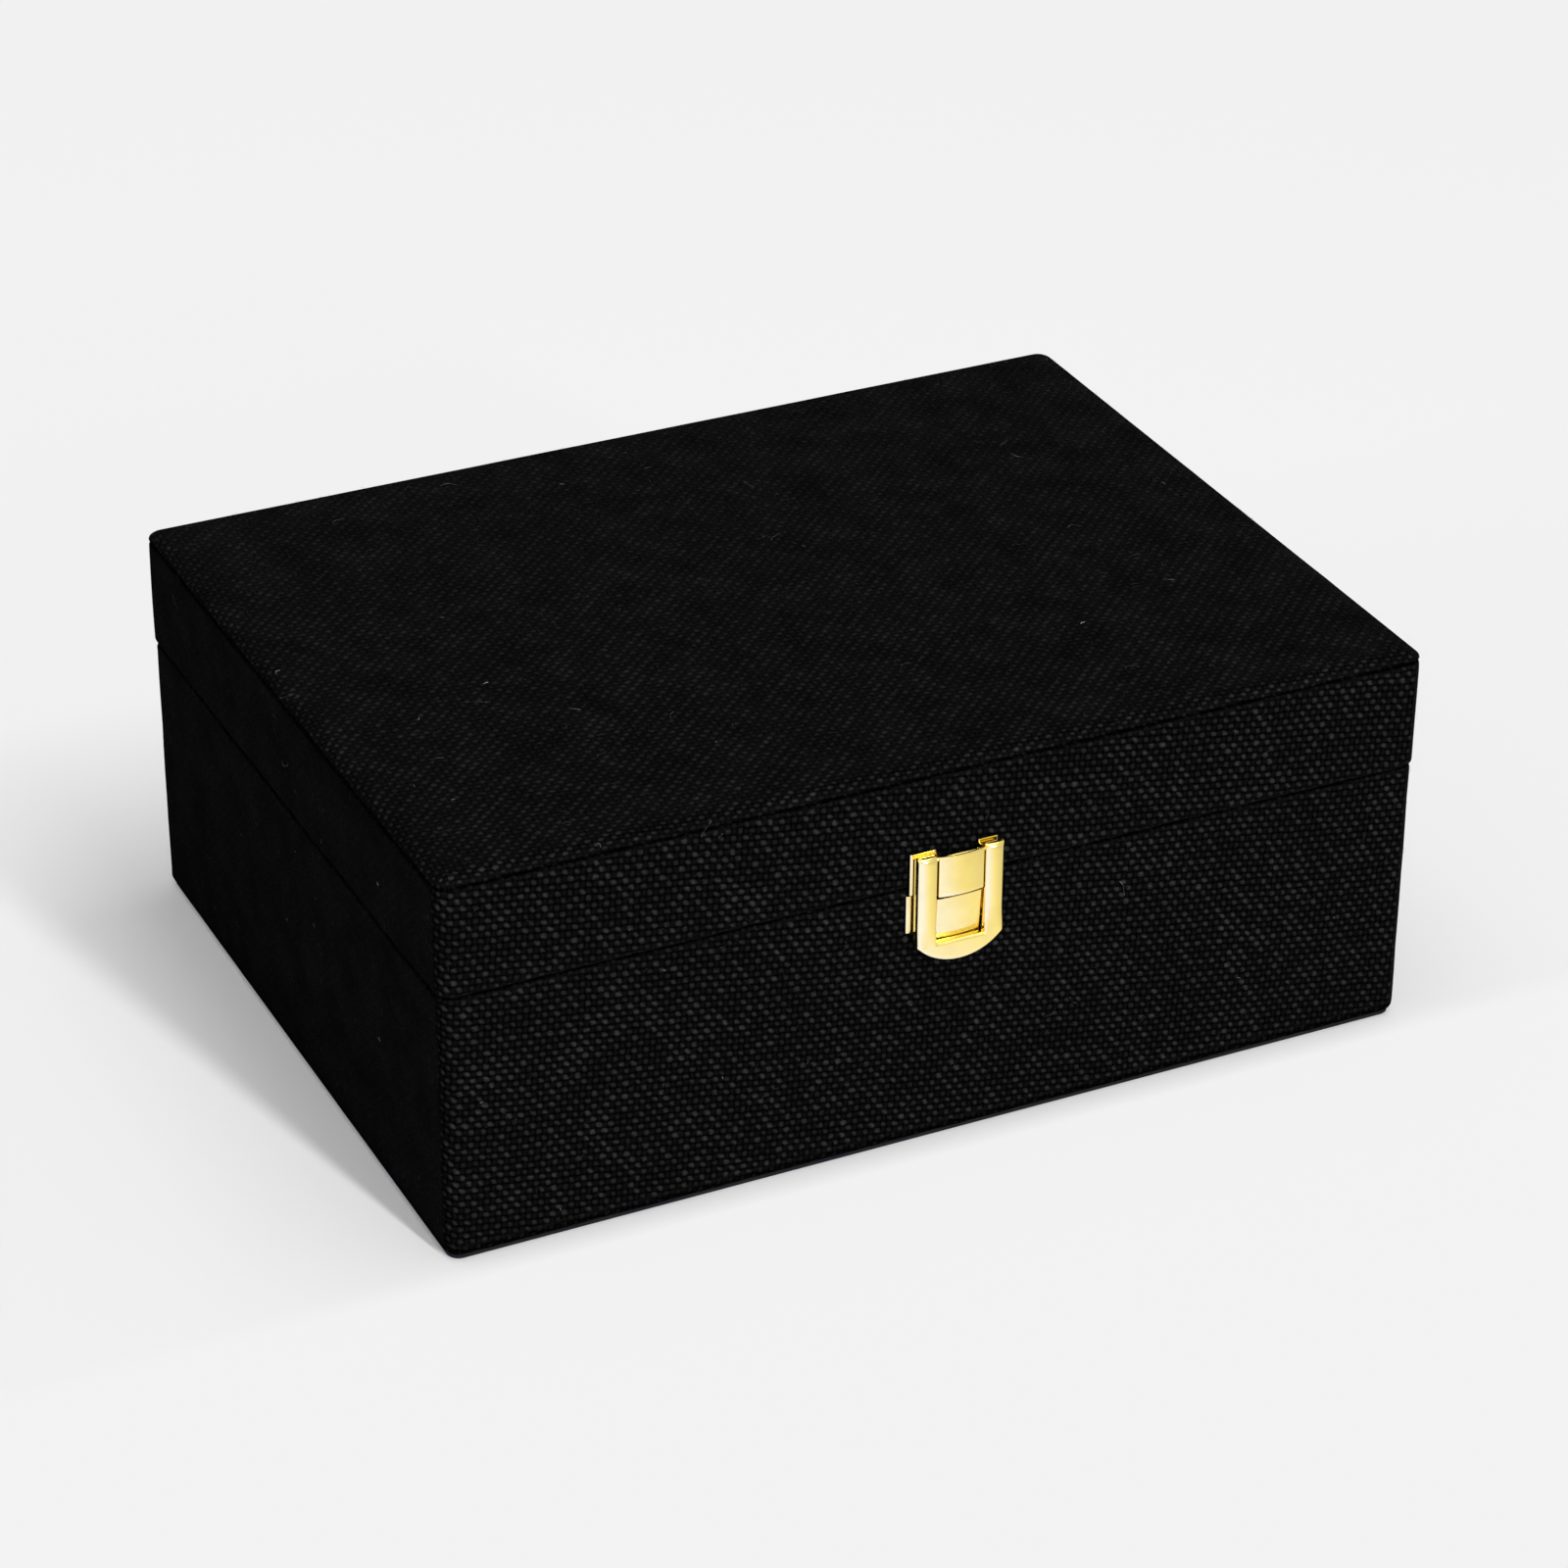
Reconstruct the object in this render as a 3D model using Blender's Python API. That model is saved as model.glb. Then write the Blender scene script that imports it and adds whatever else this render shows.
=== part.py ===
"""Cloth-covered jewellery organizer box with a hinged lid, a snap latch and a lift-out tray.

Metres, +Z up, front towards -Y. The origin is at the centre of the box on the surface that it stands on.
"""

import math

import bmesh
import bpy
from mathutils import Matrix, Vector

# Case
CASE_WIDTH = 0.2600
CASE_DEPTH = 0.1963
CASE_HEIGHT = 0.1037
RIM_HEIGHT = 0.0720
RIM_GAP = 0.0004
LID_OVERHANG = 0.0005
CORNER_RADIUS = 0.0040
SEAT = 0.0003

# Cloth covering
CLOTH = 0.0009
CLOTH_EDGE_RADIUS = 0.0020
RIM_EDGE_RADIUS = 0.0012
SEAM_EDGE_RADIUS = 0.0012
CLOTH_UNDER_TURN = 0.0120
CLOTH_TOP_TURN = 0.0100
CLOTH_TURN_RADIUS = 0.0002
FELT = 0.0008
FELT_INSET = 0.0008

# Boards
WALL_BOARD = 0.0050
FLOOR_BOARD = 0.0030
LID_BOARD = 0.0035

# Padded cover of the lid
COVER_THICKNESS = 0.0023
COVER_EDGE_RADIUS = 0.0009
COVER_SHOULDER = 0.0050
COVER_CROWN = 0.0004

# Linings
LINING = 0.0010
LINING_REVEAL = 0.0004
LINING_CORNER = 0.0008
FLOOR_PAD = 0.0020
LID_PAD = 0.0022
PAD_EDGE_RADIUS = 0.0006

# Lower compartments
REST_THICKNESS = 0.0040
LOWER_DIVIDER = 0.0025
LOWER_DIVIDER_DROP = 0.0015
LOWER_RIGHT_BAY = 0.08845
LOWER_LONG_Y = 0.0120

# Tray
TRAY_DEPTH = 0.0220
TRAY_DROP = 0.0034
TRAY_CLEARANCE = 0.0010
TRAY_WALL = 0.0030
TRAY_FLOOR = 0.0030
TRAY_DIVIDER = 0.0025
TRAY_DIVIDER_DROP = 0.0020
TRAY_LONG_Y = 0.0020
TRAY_ROLL_BAY = 0.12475
TRAY_BACK_LEFT_BAY = 0.07875
FINGER_NOTCH_RADIUS = 0.0110
FINGER_NOTCH_DEPTH = 0.0090

# Ring rolls
ROLL_COUNT = 6
ROLL_HEIGHT = 0.0150
ROLL_END_RADIUS = 0.0045
ROLL_SIDE_GAP = 0.0004
ROLL_BELLY_SHARE = 0.25
ROLL_FOOT_SHARE = 0.82
ROLL_CROWN_POWER = 0.7

# Hinges
HINGE_FROM_END = 0.0450
HINGE_LENGTH = 0.0220
HINGE_STANDOFF = 0.0008
KNUCKLE_RADIUS = 0.0016
KNUCKLE_GAP = 0.0003
MIDDLE_KNUCKLE = 0.0070
HINGE_PIN_RADIUS = 0.00065
HINGE_PIN_PROUD = 0.0003
LEAF = 0.0008
LEAF_WIDTH = 0.0066
LEAF_CLEARANCE = 0.0003
STOP_REACH = 0.0032
STOP_ANGLE = math.radians(48.5)
RUNNING_CLEARANCE = 0.0001

# Hinge screws
SCREW_X = 0.0068
SCREW_HEAD_RADIUS = 0.0015
SCREW_HEAD_DEPTH = 0.0006
SCREW_SHANK_RADIUS = 0.0007
SCREW_LENGTH = 0.0075
SCREW_POINT = 0.0012
SCREW_CLEARANCE = 0.0001

# Latch
LATCH_X = 0.0015
LEVER_HALF_WIDTH = 0.0115
LEVER_TOP = 0.0095
LEVER_SHOULDER = 0.0147
LEVER_DROP = 0.0202
LEVER_REAR = 0.0015
LEVER_FRONT = 0.0041
LEVER_END_RADIUS = 0.0011
LEVER_EDGE_RADIUS = 0.0007
LEVER_TAB_REAR = 0.0024
WINDOW_HALF_WIDTH = 0.0063
WINDOW_BOTTOM = 0.0142
WINDOW_CLEARANCE = 0.0003
LATCH_PIN_RADIUS = 0.0005
LATCH_PIN_DROP = 0.0013
LATCH_PIN_FRONT = 0.0027
LATCH_PIN_INSET = 0.0002

# Latch brackets, stamped from sheet
SHEET = 0.0004
FLANGE_FRONT = 0.0010
FLANGE_BEND = 0.0005
TONGUE_BULGE = 0.0006
LID_TONGUE_FRONT = 0.0037
LID_TONGUE_TOP = 0.0091
LID_TONGUE_FOOT = 0.0023
LID_FLANGE_TOP = 0.0099
LID_FLANGE_FOOT = 0.0012
LID_FLANGE_LEFT = 0.0124
LID_FLANGE_RIGHT = 0.0108
BASE_TONGUE_FRONT_TOP = 0.0028
BASE_TONGUE_FRONT_FOOT = 0.0014
BASE_TONGUE_TOP = 0.0029
BASE_TONGUE_FOOT = 0.0160
BASE_FLANGE_TOP = 0.0016
BASE_FLANGE_FOOT = 0.0117
BASE_FLANGE_LEFT = 0.0130
BASE_FLANGE_RIGHT = 0.0108

# Bracket nails
NAIL_HEAD_RADIUS = 0.0009
NAIL_HEAD = 0.0003
NAIL_SHANK_RADIUS = 0.0004
NAIL_LENGTH = 0.0050
NAIL_CLEARANCE = 0.0001
LID_NAIL_RISE = 0.0042
BASE_NAIL_FALL = 0.0068

# One overrun for every cut
OVERRUN = 0.0010

# Steps along rounded shapes, and the angle from which an edge stays sharp
CORNER_STEPS = 5
EDGE_STEPS = 3
ROUND_SIDES = 16
TONGUE_STEPS = 8
TAB_STEPS = 14
ROLL_STEPS = 12
SHOULDER_STEPS = 5
CROWN_STEPS = 4
SMALL_SIDES = 12
SHARP_ANGLE = math.radians(40)

# Sizes that follow from the ones above
LID_RIM = RIM_HEIGHT + RIM_GAP
SPLIT = RIM_HEIGHT + RIM_GAP / 2
LID_HALF_X = CASE_WIDTH / 2
LID_HALF_Y = CASE_DEPTH / 2
BASE_HALF_X = LID_HALF_X - LID_OVERHANG
BASE_HALF_Y = LID_HALF_Y - LID_OVERHANG
BOARD_INSET = CLOTH + SEAT
BOARD_CORNER = CORNER_RADIUS - BOARD_INSET
BOARD_EASE = CLOTH_EDGE_RADIUS - BOARD_INSET
LINING_OUTER = BOARD_INSET + WALL_BOARD + SEAT
LINING_INNER = LINING_OUTER + LINING
CLOTH_FOOT = FELT + SEAT
BOARD_FOOT = CLOTH_FOOT + CLOTH + SEAT
BASE_BOARD_TOP = RIM_HEIGHT - CLOTH - SEAT
FLOOR_TOP = BOARD_FOOT + FLOOR_BOARD
FLOOR_PAD_TOP = FLOOR_TOP + SEAT + FLOOR_PAD
COVER_FOOT = CASE_HEIGHT - COVER_THICKNESS
LID_CLOTH_TOP = COVER_FOOT - SEAT
LID_BOARD_TOP = LID_CLOTH_TOP - CLOTH - SEAT
LID_BOARD_FOOT = LID_BOARD_TOP - LID_BOARD
LID_WALL_TOP = LID_BOARD_FOOT - SEAT
LID_WALL_FOOT = LID_RIM + CLOTH + SEAT
LID_PAD_TOP = LID_BOARD_FOOT - SEAT
LID_PAD_FOOT = LID_PAD_TOP - LID_PAD
TRAY_TOP = RIM_HEIGHT - TRAY_DROP
TRAY_FOOT = TRAY_TOP - TRAY_DEPTH
TRAY_HALF_X = BASE_HALF_X - LINING_INNER - TRAY_CLEARANCE
TRAY_HALF_Y = BASE_HALF_Y - LINING_INNER - TRAY_CLEARANCE
TRAY_FLOOR_TOP = TRAY_FOOT + TRAY_FLOOR
TRAY_INNER_X = TRAY_HALF_X - TRAY_WALL
TRAY_INNER_Y = TRAY_HALF_Y - TRAY_WALL
TRAY_FRONT_CROSS_X = TRAY_ROLL_BAY + TRAY_DIVIDER / 2 - TRAY_INNER_X
TRAY_BACK_CROSS_X = TRAY_BACK_LEFT_BAY + TRAY_DIVIDER / 2 - TRAY_INNER_X
LOWER_WALL_X = BASE_HALF_X - LINING_INNER - SEAT
LOWER_WALL_Y = BASE_HALF_Y - LINING_INNER - SEAT
LOWER_CROSS_X = LOWER_WALL_X - REST_THICKNESS - LOWER_RIGHT_BAY - LOWER_DIVIDER / 2
HINGE_X = LID_HALF_X - HINGE_FROM_END
HINGE_Y = LID_HALF_Y + HINGE_STANDOFF
LATCH_PLANE = -LID_HALF_Y
LATCH_PIN_Z = SPLIT + LEVER_TOP - LATCH_PIN_DROP
LATCH_PIN_Y = LATCH_PLANE - LATCH_PIN_FRONT
TONGUE_HALF_WIDTH = WINDOW_HALF_WIDTH - WINDOW_CLEARANCE
NAIL_X_LEFT = LATCH_X - (WINDOW_HALF_WIDTH + LEVER_HALF_WIDTH) / 2
NAIL_X_RIGHT = LATCH_X + (TONGUE_HALF_WIDTH + LID_FLANGE_RIGHT) / 2
SCREW_Y = HINGE_Y - (KNUCKLE_RADIUS + LEAF_WIDTH) / 2


def clear_scene():
    """Removes every object that the new file starts with."""
    for old in list(bpy.data.objects):
        bpy.data.objects.remove(old, do_unlink=True)


def make_material(name, color, roughness, metallic):
    """Makes a material from one Principled shader."""
    material = bpy.data.materials.new(name)
    material.use_nodes = True
    shader = material.node_tree.nodes["Principled BSDF"]
    shader.inputs["Base Color"].default_value = (*color, 1.0)
    shader.inputs["Roughness"].default_value = roughness
    shader.inputs["Metallic"].default_value = metallic
    material.diffuse_color = (*color, 1.0)
    return material


def add_object(name, shape, material=None):
    """Turns a bmesh into an object whose faces point out."""
    bmesh.ops.recalc_face_normals(shape, faces=shape.faces)
    mesh = bpy.data.meshes.new(name)
    shape.to_mesh(mesh)
    shape.free()
    made = bpy.data.objects.new(name, mesh)
    bpy.context.scene.collection.objects.link(made)
    if material:
        mesh.materials.append(material)
    return made


def loft(name, loops, material=None, endless=False):
    """Skins a row of equal loops of points, and caps both ends unless the row closes on itself."""
    shape = bmesh.new()
    rings = [[shape.verts.new(point) for point in loop] for loop in loops]
    pairs = list(zip(rings, rings[1:]))
    if endless:
        pairs.append((rings[-1], rings[0]))
    for low, high in pairs:
        for i in range(len(low)):
            j = (i + 1) % len(low)
            shape.faces.new((low[i], low[j], high[j], high[i]))
    if not endless:
        shape.faces.new(rings[0])
        shape.faces.new(rings[-1])
    return add_object(name, shape, material)


def block(name, low, high, material=None):
    """Makes a plain board between two corners."""
    plan = [(low[0], low[1]), (high[0], low[1]), (high[0], high[1]), (low[0], high[1])]
    loops = [[(x, y, z) for x, y in plan] for z in (low[2], high[2])]
    return loft(name, loops, material)


def arc(centre, radius, start, end, steps):
    """Gives the points along an arc in a plane, both ends included."""
    points = []
    for i in range(steps + 1):
        angle = start + (end - start) * i / steps
        points.append((centre[0] + radius * math.cos(angle), centre[1] + radius * math.sin(angle)))
    return points


def rounded_rectangle(half_x, half_y, radius):
    """Gives the corners of a rectangle rounded in plan, counter-clockwise from the right-hand back one."""
    points = []
    for k, (side_x, side_y) in enumerate(((1, 1), (-1, 1), (-1, -1), (1, -1))):
        centre = (side_x * (half_x - radius), side_y * (half_y - radius))
        start = k * math.pi / 2
        points += arc(centre, radius, start, start + math.pi / 2, CORNER_STEPS)
    return points


def case_loop(half_x, half_y, inset, z):
    """Gives the case's outline at a height, moved in from the outer face."""
    radius = max(CORNER_RADIUS - inset, CLOTH_TURN_RADIUS)
    return [(x, y, z) for x, y in rounded_rectangle(half_x - inset, half_y - inset, radius)]


def ring(name, half_x, half_y, profile, material):
    """Sweeps a closed profile of insets and heights round the case."""
    loops = [case_loop(half_x, half_y, inset, z) for inset, z in profile]
    return loft(name, loops, material, endless=True)


def turned(name, profile, place, axis, material=None, sides=ROUND_SIDES):
    """Turns a profile of radii and distances round an axis through a place."""
    turn = Vector((0, 0, 1)).rotation_difference(Vector(axis)).to_matrix()
    loops = []
    for radius, along in profile:
        circle = arc((0, 0), radius, 0, 2 * math.pi * (sides - 1) / sides, sides - 1)
        loops.append([Vector(place) + turn @ Vector((x, y, along)) for x, y in circle])
    made = loft(name, loops, material)
    smooth(made)
    return made


def smooth(made):
    """Shades a round piece smooth and keeps its real edges sharp."""
    made.data.shade_smooth()
    made.data.set_sharp_from_angle(angle=SHARP_ANGLE)


def apply_boolean(target, tool, operation, name):
    """Adds a Boolean to the target and hides its tool."""
    change = target.modifiers.new(name, "BOOLEAN")
    change.operation = operation
    change.object = tool
    tool.display_type = "WIRE"
    tool.hide_render = True


def cut(target, tool):
    """Takes the tool's space out of the target."""
    apply_boolean(target, tool, "DIFFERENCE", f"cut {tool.name}")


def join(target, tool):
    """Joins the tool to the target as one body."""
    apply_boolean(target, tool, "UNION", f"join {tool.name}")


def add_axis(name, place, parent=None):
    """Places an empty on a joint's axis."""
    axis = bpy.data.objects.new(name, None)
    bpy.context.scene.collection.objects.link(axis)
    axis.empty_display_size = KNUCKLE_RADIUS
    axis.location = place
    if parent:
        axis.parent = parent
        axis.matrix_parent_inverse = Matrix.Translation(parent.location).inverted()
    return axis


def hang(pieces, axis, place):
    """Hangs pieces on the empty of their joint without moving them."""
    for piece in pieces:
        piece.parent = axis
        piece.matrix_parent_inverse = Matrix.Translation(place).inverted()


def eased_rows(foot, top, foot_ease, top_ease):
    """Gives the heights of an upright board with how far its outer edges are eased at each."""
    rows = [(foot_ease, foot)]
    if foot_ease:
        rows.append((0, foot + foot_ease))
    if top_ease:
        rows.append((0, top - top_ease))
    rows.append((top_ease, top))
    return rows


def wall_boards(prefix, half_x, half_y, rows, material):
    """Makes a frame of four boards: the front and back run through, the sides fit between them."""
    outer_x = half_x - BOARD_INSET
    outer_y = half_y - BOARD_INSET
    inner_x = outer_x - WALL_BOARD
    inner_y = outer_y - WALL_BOARD
    end_y = inner_y - SEAT
    boards = []
    for side, name in ((-1, "front"), (1, "back")):
        loops = []
        for ease, z in rows:
            rounded = rounded_rectangle(outer_x - ease, outer_y - ease, BOARD_CORNER - ease)
            plan = [(x, y, z) for x, y in rounded if y * side > 0]
            plan.append((-side * (outer_x - ease), side * inner_y, z))
            plan.append((side * (outer_x - ease), side * inner_y, z))
            loops.append(plan)
        boards.append(loft(f"{prefix}_{name}_board", loops, material))
    for side, name in ((-1, "left"), (1, "right")):
        loops = []
        for ease, z in rows:
            outer = side * (outer_x - ease)
            inner = side * inner_x
            loops.append([(outer, -end_y, z), (outer, end_y, z), (inner, end_y, z), (inner, -end_y, z)])
        boards.append(loft(f"{prefix}_{name}_board", loops, material))
    return boards


def cloth_profile(foot, top, foot_turn, top_turn, top_radius):
    """Gives the section of a cloth skin that is turned in at its foot and over its top."""
    foot_radius = CLOTH_EDGE_RADIUS
    foot_centre = (foot_radius, foot + foot_radius)
    top_centre = (top_radius, top - top_radius)
    quarter = math.pi / 2
    profile = [(foot_turn, foot)]
    profile += arc(foot_centre, foot_radius, 3 * quarter, math.pi, EDGE_STEPS)
    profile += arc(top_centre, top_radius, math.pi, quarter, EDGE_STEPS)
    profile += [(top_turn, top), (top_turn, top - CLOTH)]
    profile += arc(top_centre, top_radius - CLOTH, quarter, math.pi, EDGE_STEPS)
    profile += arc(foot_centre, foot_radius - CLOTH, math.pi, 3 * quarter, EDGE_STEPS)
    profile += [(foot_turn, foot + CLOTH)]
    return profile


def strip_profile(outer, inner, foot, top):
    """Gives the section of a plain upright strip."""
    return [(outer, foot), (outer, top), (inner, top), (inner, foot)]


def make_base_case(looks):
    """Makes the base's boards, cloth, felt and lining."""
    rows = eased_rows(BOARD_FOOT, BASE_BOARD_TOP, BOARD_EASE, 0)
    wall_boards("base", BASE_HALF_X, BASE_HALF_Y, rows, looks["board"])
    floor_x = BASE_HALF_X - BOARD_INSET - WALL_BOARD - SEAT
    floor_y = BASE_HALF_Y - BOARD_INSET - WALL_BOARD - SEAT
    low = (-floor_x, -floor_y, BOARD_FOOT)
    block("base_floor_board", low, (floor_x, floor_y, FLOOR_TOP), looks["board"])
    rim_turn = BOARD_INSET + WALL_BOARD
    profile = cloth_profile(CLOTH_FOOT, RIM_HEIGHT, CLOTH_UNDER_TURN, rim_turn, RIM_EDGE_RADIUS)
    wrap = ring("base_wrap", BASE_HALF_X, BASE_HALF_Y, profile, looks["cloth"])
    smooth(wrap)
    loops = [case_loop(BASE_HALF_X, BASE_HALF_Y, FELT_INSET, z) for z in (0, FELT)]
    loft("base_underside_sheet", loops, looks["felt"])
    foot = FLOOR_TOP + SEAT
    make_lining("base_lining", BASE_HALF_X, BASE_HALF_Y, foot, RIM_HEIGHT - LINING_REVEAL, looks)
    pad_x = BASE_HALF_X - LINING_INNER - SEAT
    pad_y = BASE_HALF_Y - LINING_INNER - SEAT
    make_pad("base_floor_pad", pad_x, pad_y, foot, FLOOR_PAD_TOP, looks)
    return wrap


def make_lining(name, half_x, half_y, foot, top, looks):
    """Makes the velvet strip that goes round the inside of the walls."""
    loops = []
    for inset, z in strip_profile(LINING_OUTER, LINING_INNER, foot, top):
        outline = rounded_rectangle(half_x - inset, half_y - inset, LINING_CORNER)
        loops.append([(x, y, z) for x, y in outline])
    return loft(name, loops, looks["velvet"], endless=True)


def make_pad(name, half_x, half_y, foot, top, looks):
    """Makes a thin velvet-covered pad with soft upper and lower edges."""
    radius = PAD_EDGE_RADIUS
    rows = [(radius, foot), (0, foot + radius), (0, top - radius), (radius, top)]
    loops = []
    for inset, z in rows:
        outline = rounded_rectangle(half_x - inset, half_y - inset, LINING_CORNER)
        loops.append([(x, y, z) for x, y in outline])
    return loft(name, loops, looks["velvet"])


def make_lower_compartments(looks):
    """Makes the two rests that carry the tray and the dividers below it."""
    foot = FLOOR_PAD_TOP + SEAT
    rest_top = TRAY_FOOT - SEAT
    for side, name in ((-1, "left"), (1, "right")):
        near = side * LOWER_WALL_X
        far = side * (LOWER_WALL_X - REST_THICKNESS)
        low = (min(near, far), -LOWER_WALL_Y, foot)
        block(f"tray_rest_{name}", low, (max(near, far), LOWER_WALL_Y, rest_top), looks["velvet"])
    top = rest_top - LOWER_DIVIDER_DROP
    half = LOWER_DIVIDER / 2
    low = (LOWER_CROSS_X - half, -LOWER_WALL_Y, foot)
    block("lower_cross_divider", low, (LOWER_CROSS_X + half, LOWER_WALL_Y, top), looks["velvet"])
    end_x = LOWER_WALL_X - REST_THICKNESS - SEAT
    low = (LOWER_CROSS_X + half + SEAT, LOWER_LONG_Y - half, foot)
    block("lower_long_divider", low, (end_x, LOWER_LONG_Y + half, top), looks["velvet"])


def make_lid_case(looks):
    """Makes the lid's boards, cloth, padded cover and lining."""
    rows = eased_rows(LID_WALL_FOOT, LID_WALL_TOP, BOARD_EASE, 0)
    boards = wall_boards("lid", LID_HALF_X, LID_HALF_Y, rows, looks["board"])
    outline = rounded_rectangle(LID_HALF_X - BOARD_INSET, LID_HALF_Y - BOARD_INSET, BOARD_CORNER)
    loops = [[(x, y, z) for x, y in outline] for z in (LID_BOARD_FOOT, LID_BOARD_TOP)]
    top_board = loft("lid_top_board", loops, looks["board"])
    rim_turn = BOARD_INSET + WALL_BOARD
    profile = cloth_profile(LID_RIM, LID_CLOTH_TOP, rim_turn, CLOTH_TOP_TURN, SEAM_EDGE_RADIUS)
    wrap = ring("lid_wrap", LID_HALF_X, LID_HALF_Y, profile, looks["cloth"])
    smooth(wrap)
    cover = make_cover(looks)
    top = LID_PAD_FOOT - SEAT
    lining = make_lining("lid_lining", LID_HALF_X, LID_HALF_Y, LID_RIM + LINING_REVEAL, top, looks)
    pad_x = LID_HALF_X - LINING_OUTER
    pad_y = LID_HALF_Y - LINING_OUTER
    pad = make_pad("lid_lining_pad", pad_x, pad_y, LID_PAD_FOOT, LID_PAD_TOP, looks)
    return boards, wrap, [top_board, cover, lining, pad]


def make_cover(looks):
    """Makes the padded cloth panel on top of the lid, with soft shoulders and a low crown."""
    radius = COVER_EDGE_RADIUS
    rows = arc((radius, COVER_FOOT + radius), radius, 1.5 * math.pi, math.pi, EDGE_STEPS)
    rise = CASE_HEIGHT - COVER_FOOT - radius
    for i in range(1, SHOULDER_STEPS + 1):
        angle = math.pi / 2 * i / SHOULDER_STEPS
        inset = COVER_SHOULDER * (1 - math.cos(angle))
        rows.append((inset, COVER_FOOT + radius + rise * math.sin(angle)))
    reach = LID_HALF_Y - CORNER_RADIUS - COVER_SHOULDER
    for i in range(1, CROWN_STEPS + 1):
        share = i / (CROWN_STEPS + 1)
        rows.append((COVER_SHOULDER + reach * share, CASE_HEIGHT + COVER_CROWN * (1 - (1 - share) ** 2)))
    loops = [case_loop(LID_HALF_X, LID_HALF_Y, inset, z) for inset, z in rows]
    cover = loft("lid_top_cover", loops, looks["cloth"])
    smooth(cover)
    return cover


def make_tray(looks):
    """Makes the lift-out tray: floor, walls with finger notches, dividers and ring rolls."""
    pieces = []
    low = (SEAT - TRAY_INNER_X, SEAT - TRAY_INNER_Y, TRAY_FOOT)
    high = (TRAY_INNER_X - SEAT, TRAY_INNER_Y - SEAT, TRAY_FLOOR_TOP)
    pieces.append(block("tray_floor", low, high, looks["velvet"]))
    for side, name in ((-1, "front"), (1, "back")):
        near = side * TRAY_HALF_Y
        far = side * TRAY_INNER_Y
        low = (-TRAY_HALF_X, min(near, far), TRAY_FOOT)
        high = (TRAY_HALF_X, max(near, far), TRAY_TOP)
        pieces.append(block(f"tray_{name}_wall", low, high, looks["velvet"]))
    for side, name in ((-1, "left"), (1, "right")):
        near = side * TRAY_HALF_X
        far = side * TRAY_INNER_X
        low = (min(near, far), SEAT - TRAY_INNER_Y, TRAY_FOOT)
        high = (max(near, far), TRAY_INNER_Y - SEAT, TRAY_TOP)
        wall = block(f"tray_{name}_wall", low, high, looks["velvet"])
        cut(wall, make_finger_cutter(f"cutter_notch_{name}", low[0], high[0]))
        pieces.append(wall)
    pieces += make_tray_dividers(looks)
    pieces += make_ring_rolls(looks)
    return pieces


def make_finger_cutter(name, low_x, high_x):
    """Makes the round-bottomed cutter for a finger notch in the top of a tray wall."""
    centre = (0, TRAY_TOP - FINGER_NOTCH_DEPTH + FINGER_NOTCH_RADIUS)
    outline = arc(centre, FINGER_NOTCH_RADIUS, math.pi, 2 * math.pi, ROUND_SIDES)
    top = max(centre[1], TRAY_TOP) + OVERRUN
    outline += [(centre[0] + FINGER_NOTCH_RADIUS, top), (centre[0] - FINGER_NOTCH_RADIUS, top)]
    loops = [[(x, y, z) for y, z in outline] for x in (low_x - OVERRUN, high_x + OVERRUN)]
    return loft(name, loops)


def make_tray_dividers(looks):
    """Makes the long divider and the two cross dividers that meet it."""
    half = TRAY_DIVIDER / 2
    foot = TRAY_FLOOR_TOP + SEAT
    top = TRAY_TOP - TRAY_DIVIDER_DROP
    low = (SEAT - TRAY_INNER_X, TRAY_LONG_Y - half, foot)
    high = (TRAY_INNER_X - SEAT, TRAY_LONG_Y + half, top)
    pieces = [block("tray_long_divider", low, high, looks["velvet"])]
    low = (TRAY_FRONT_CROSS_X - half, SEAT - TRAY_INNER_Y, foot)
    high = (TRAY_FRONT_CROSS_X + half, TRAY_LONG_Y - half - SEAT, top)
    pieces.append(block("tray_front_cross_divider", low, high, looks["velvet"]))
    low = (TRAY_BACK_CROSS_X - half, TRAY_LONG_Y + half + SEAT, foot)
    high = (TRAY_BACK_CROSS_X + half, TRAY_INNER_Y - SEAT, top)
    pieces.append(block("tray_back_cross_divider", low, high, looks["velvet"]))
    return pieces


def roll_section(width):
    """Gives a ring roll's section about its foot: a flat foot and a full round crown."""
    half = width / 2
    points = []
    for i in range(ROLL_STEPS + 1):
        angle = math.pi * i / ROLL_STEPS
        across = math.cos(angle)
        rise = math.sin(angle) ** ROLL_CROWN_POWER
        height_share = ROLL_BELLY_SHARE + (1 - ROLL_BELLY_SHARE) * rise
        points.append((half * across, ROLL_HEIGHT * height_share))
    points += [(-half * ROLL_FOOT_SHARE, 0), (half * ROLL_FOOT_SHARE, 0)]
    return points


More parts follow.
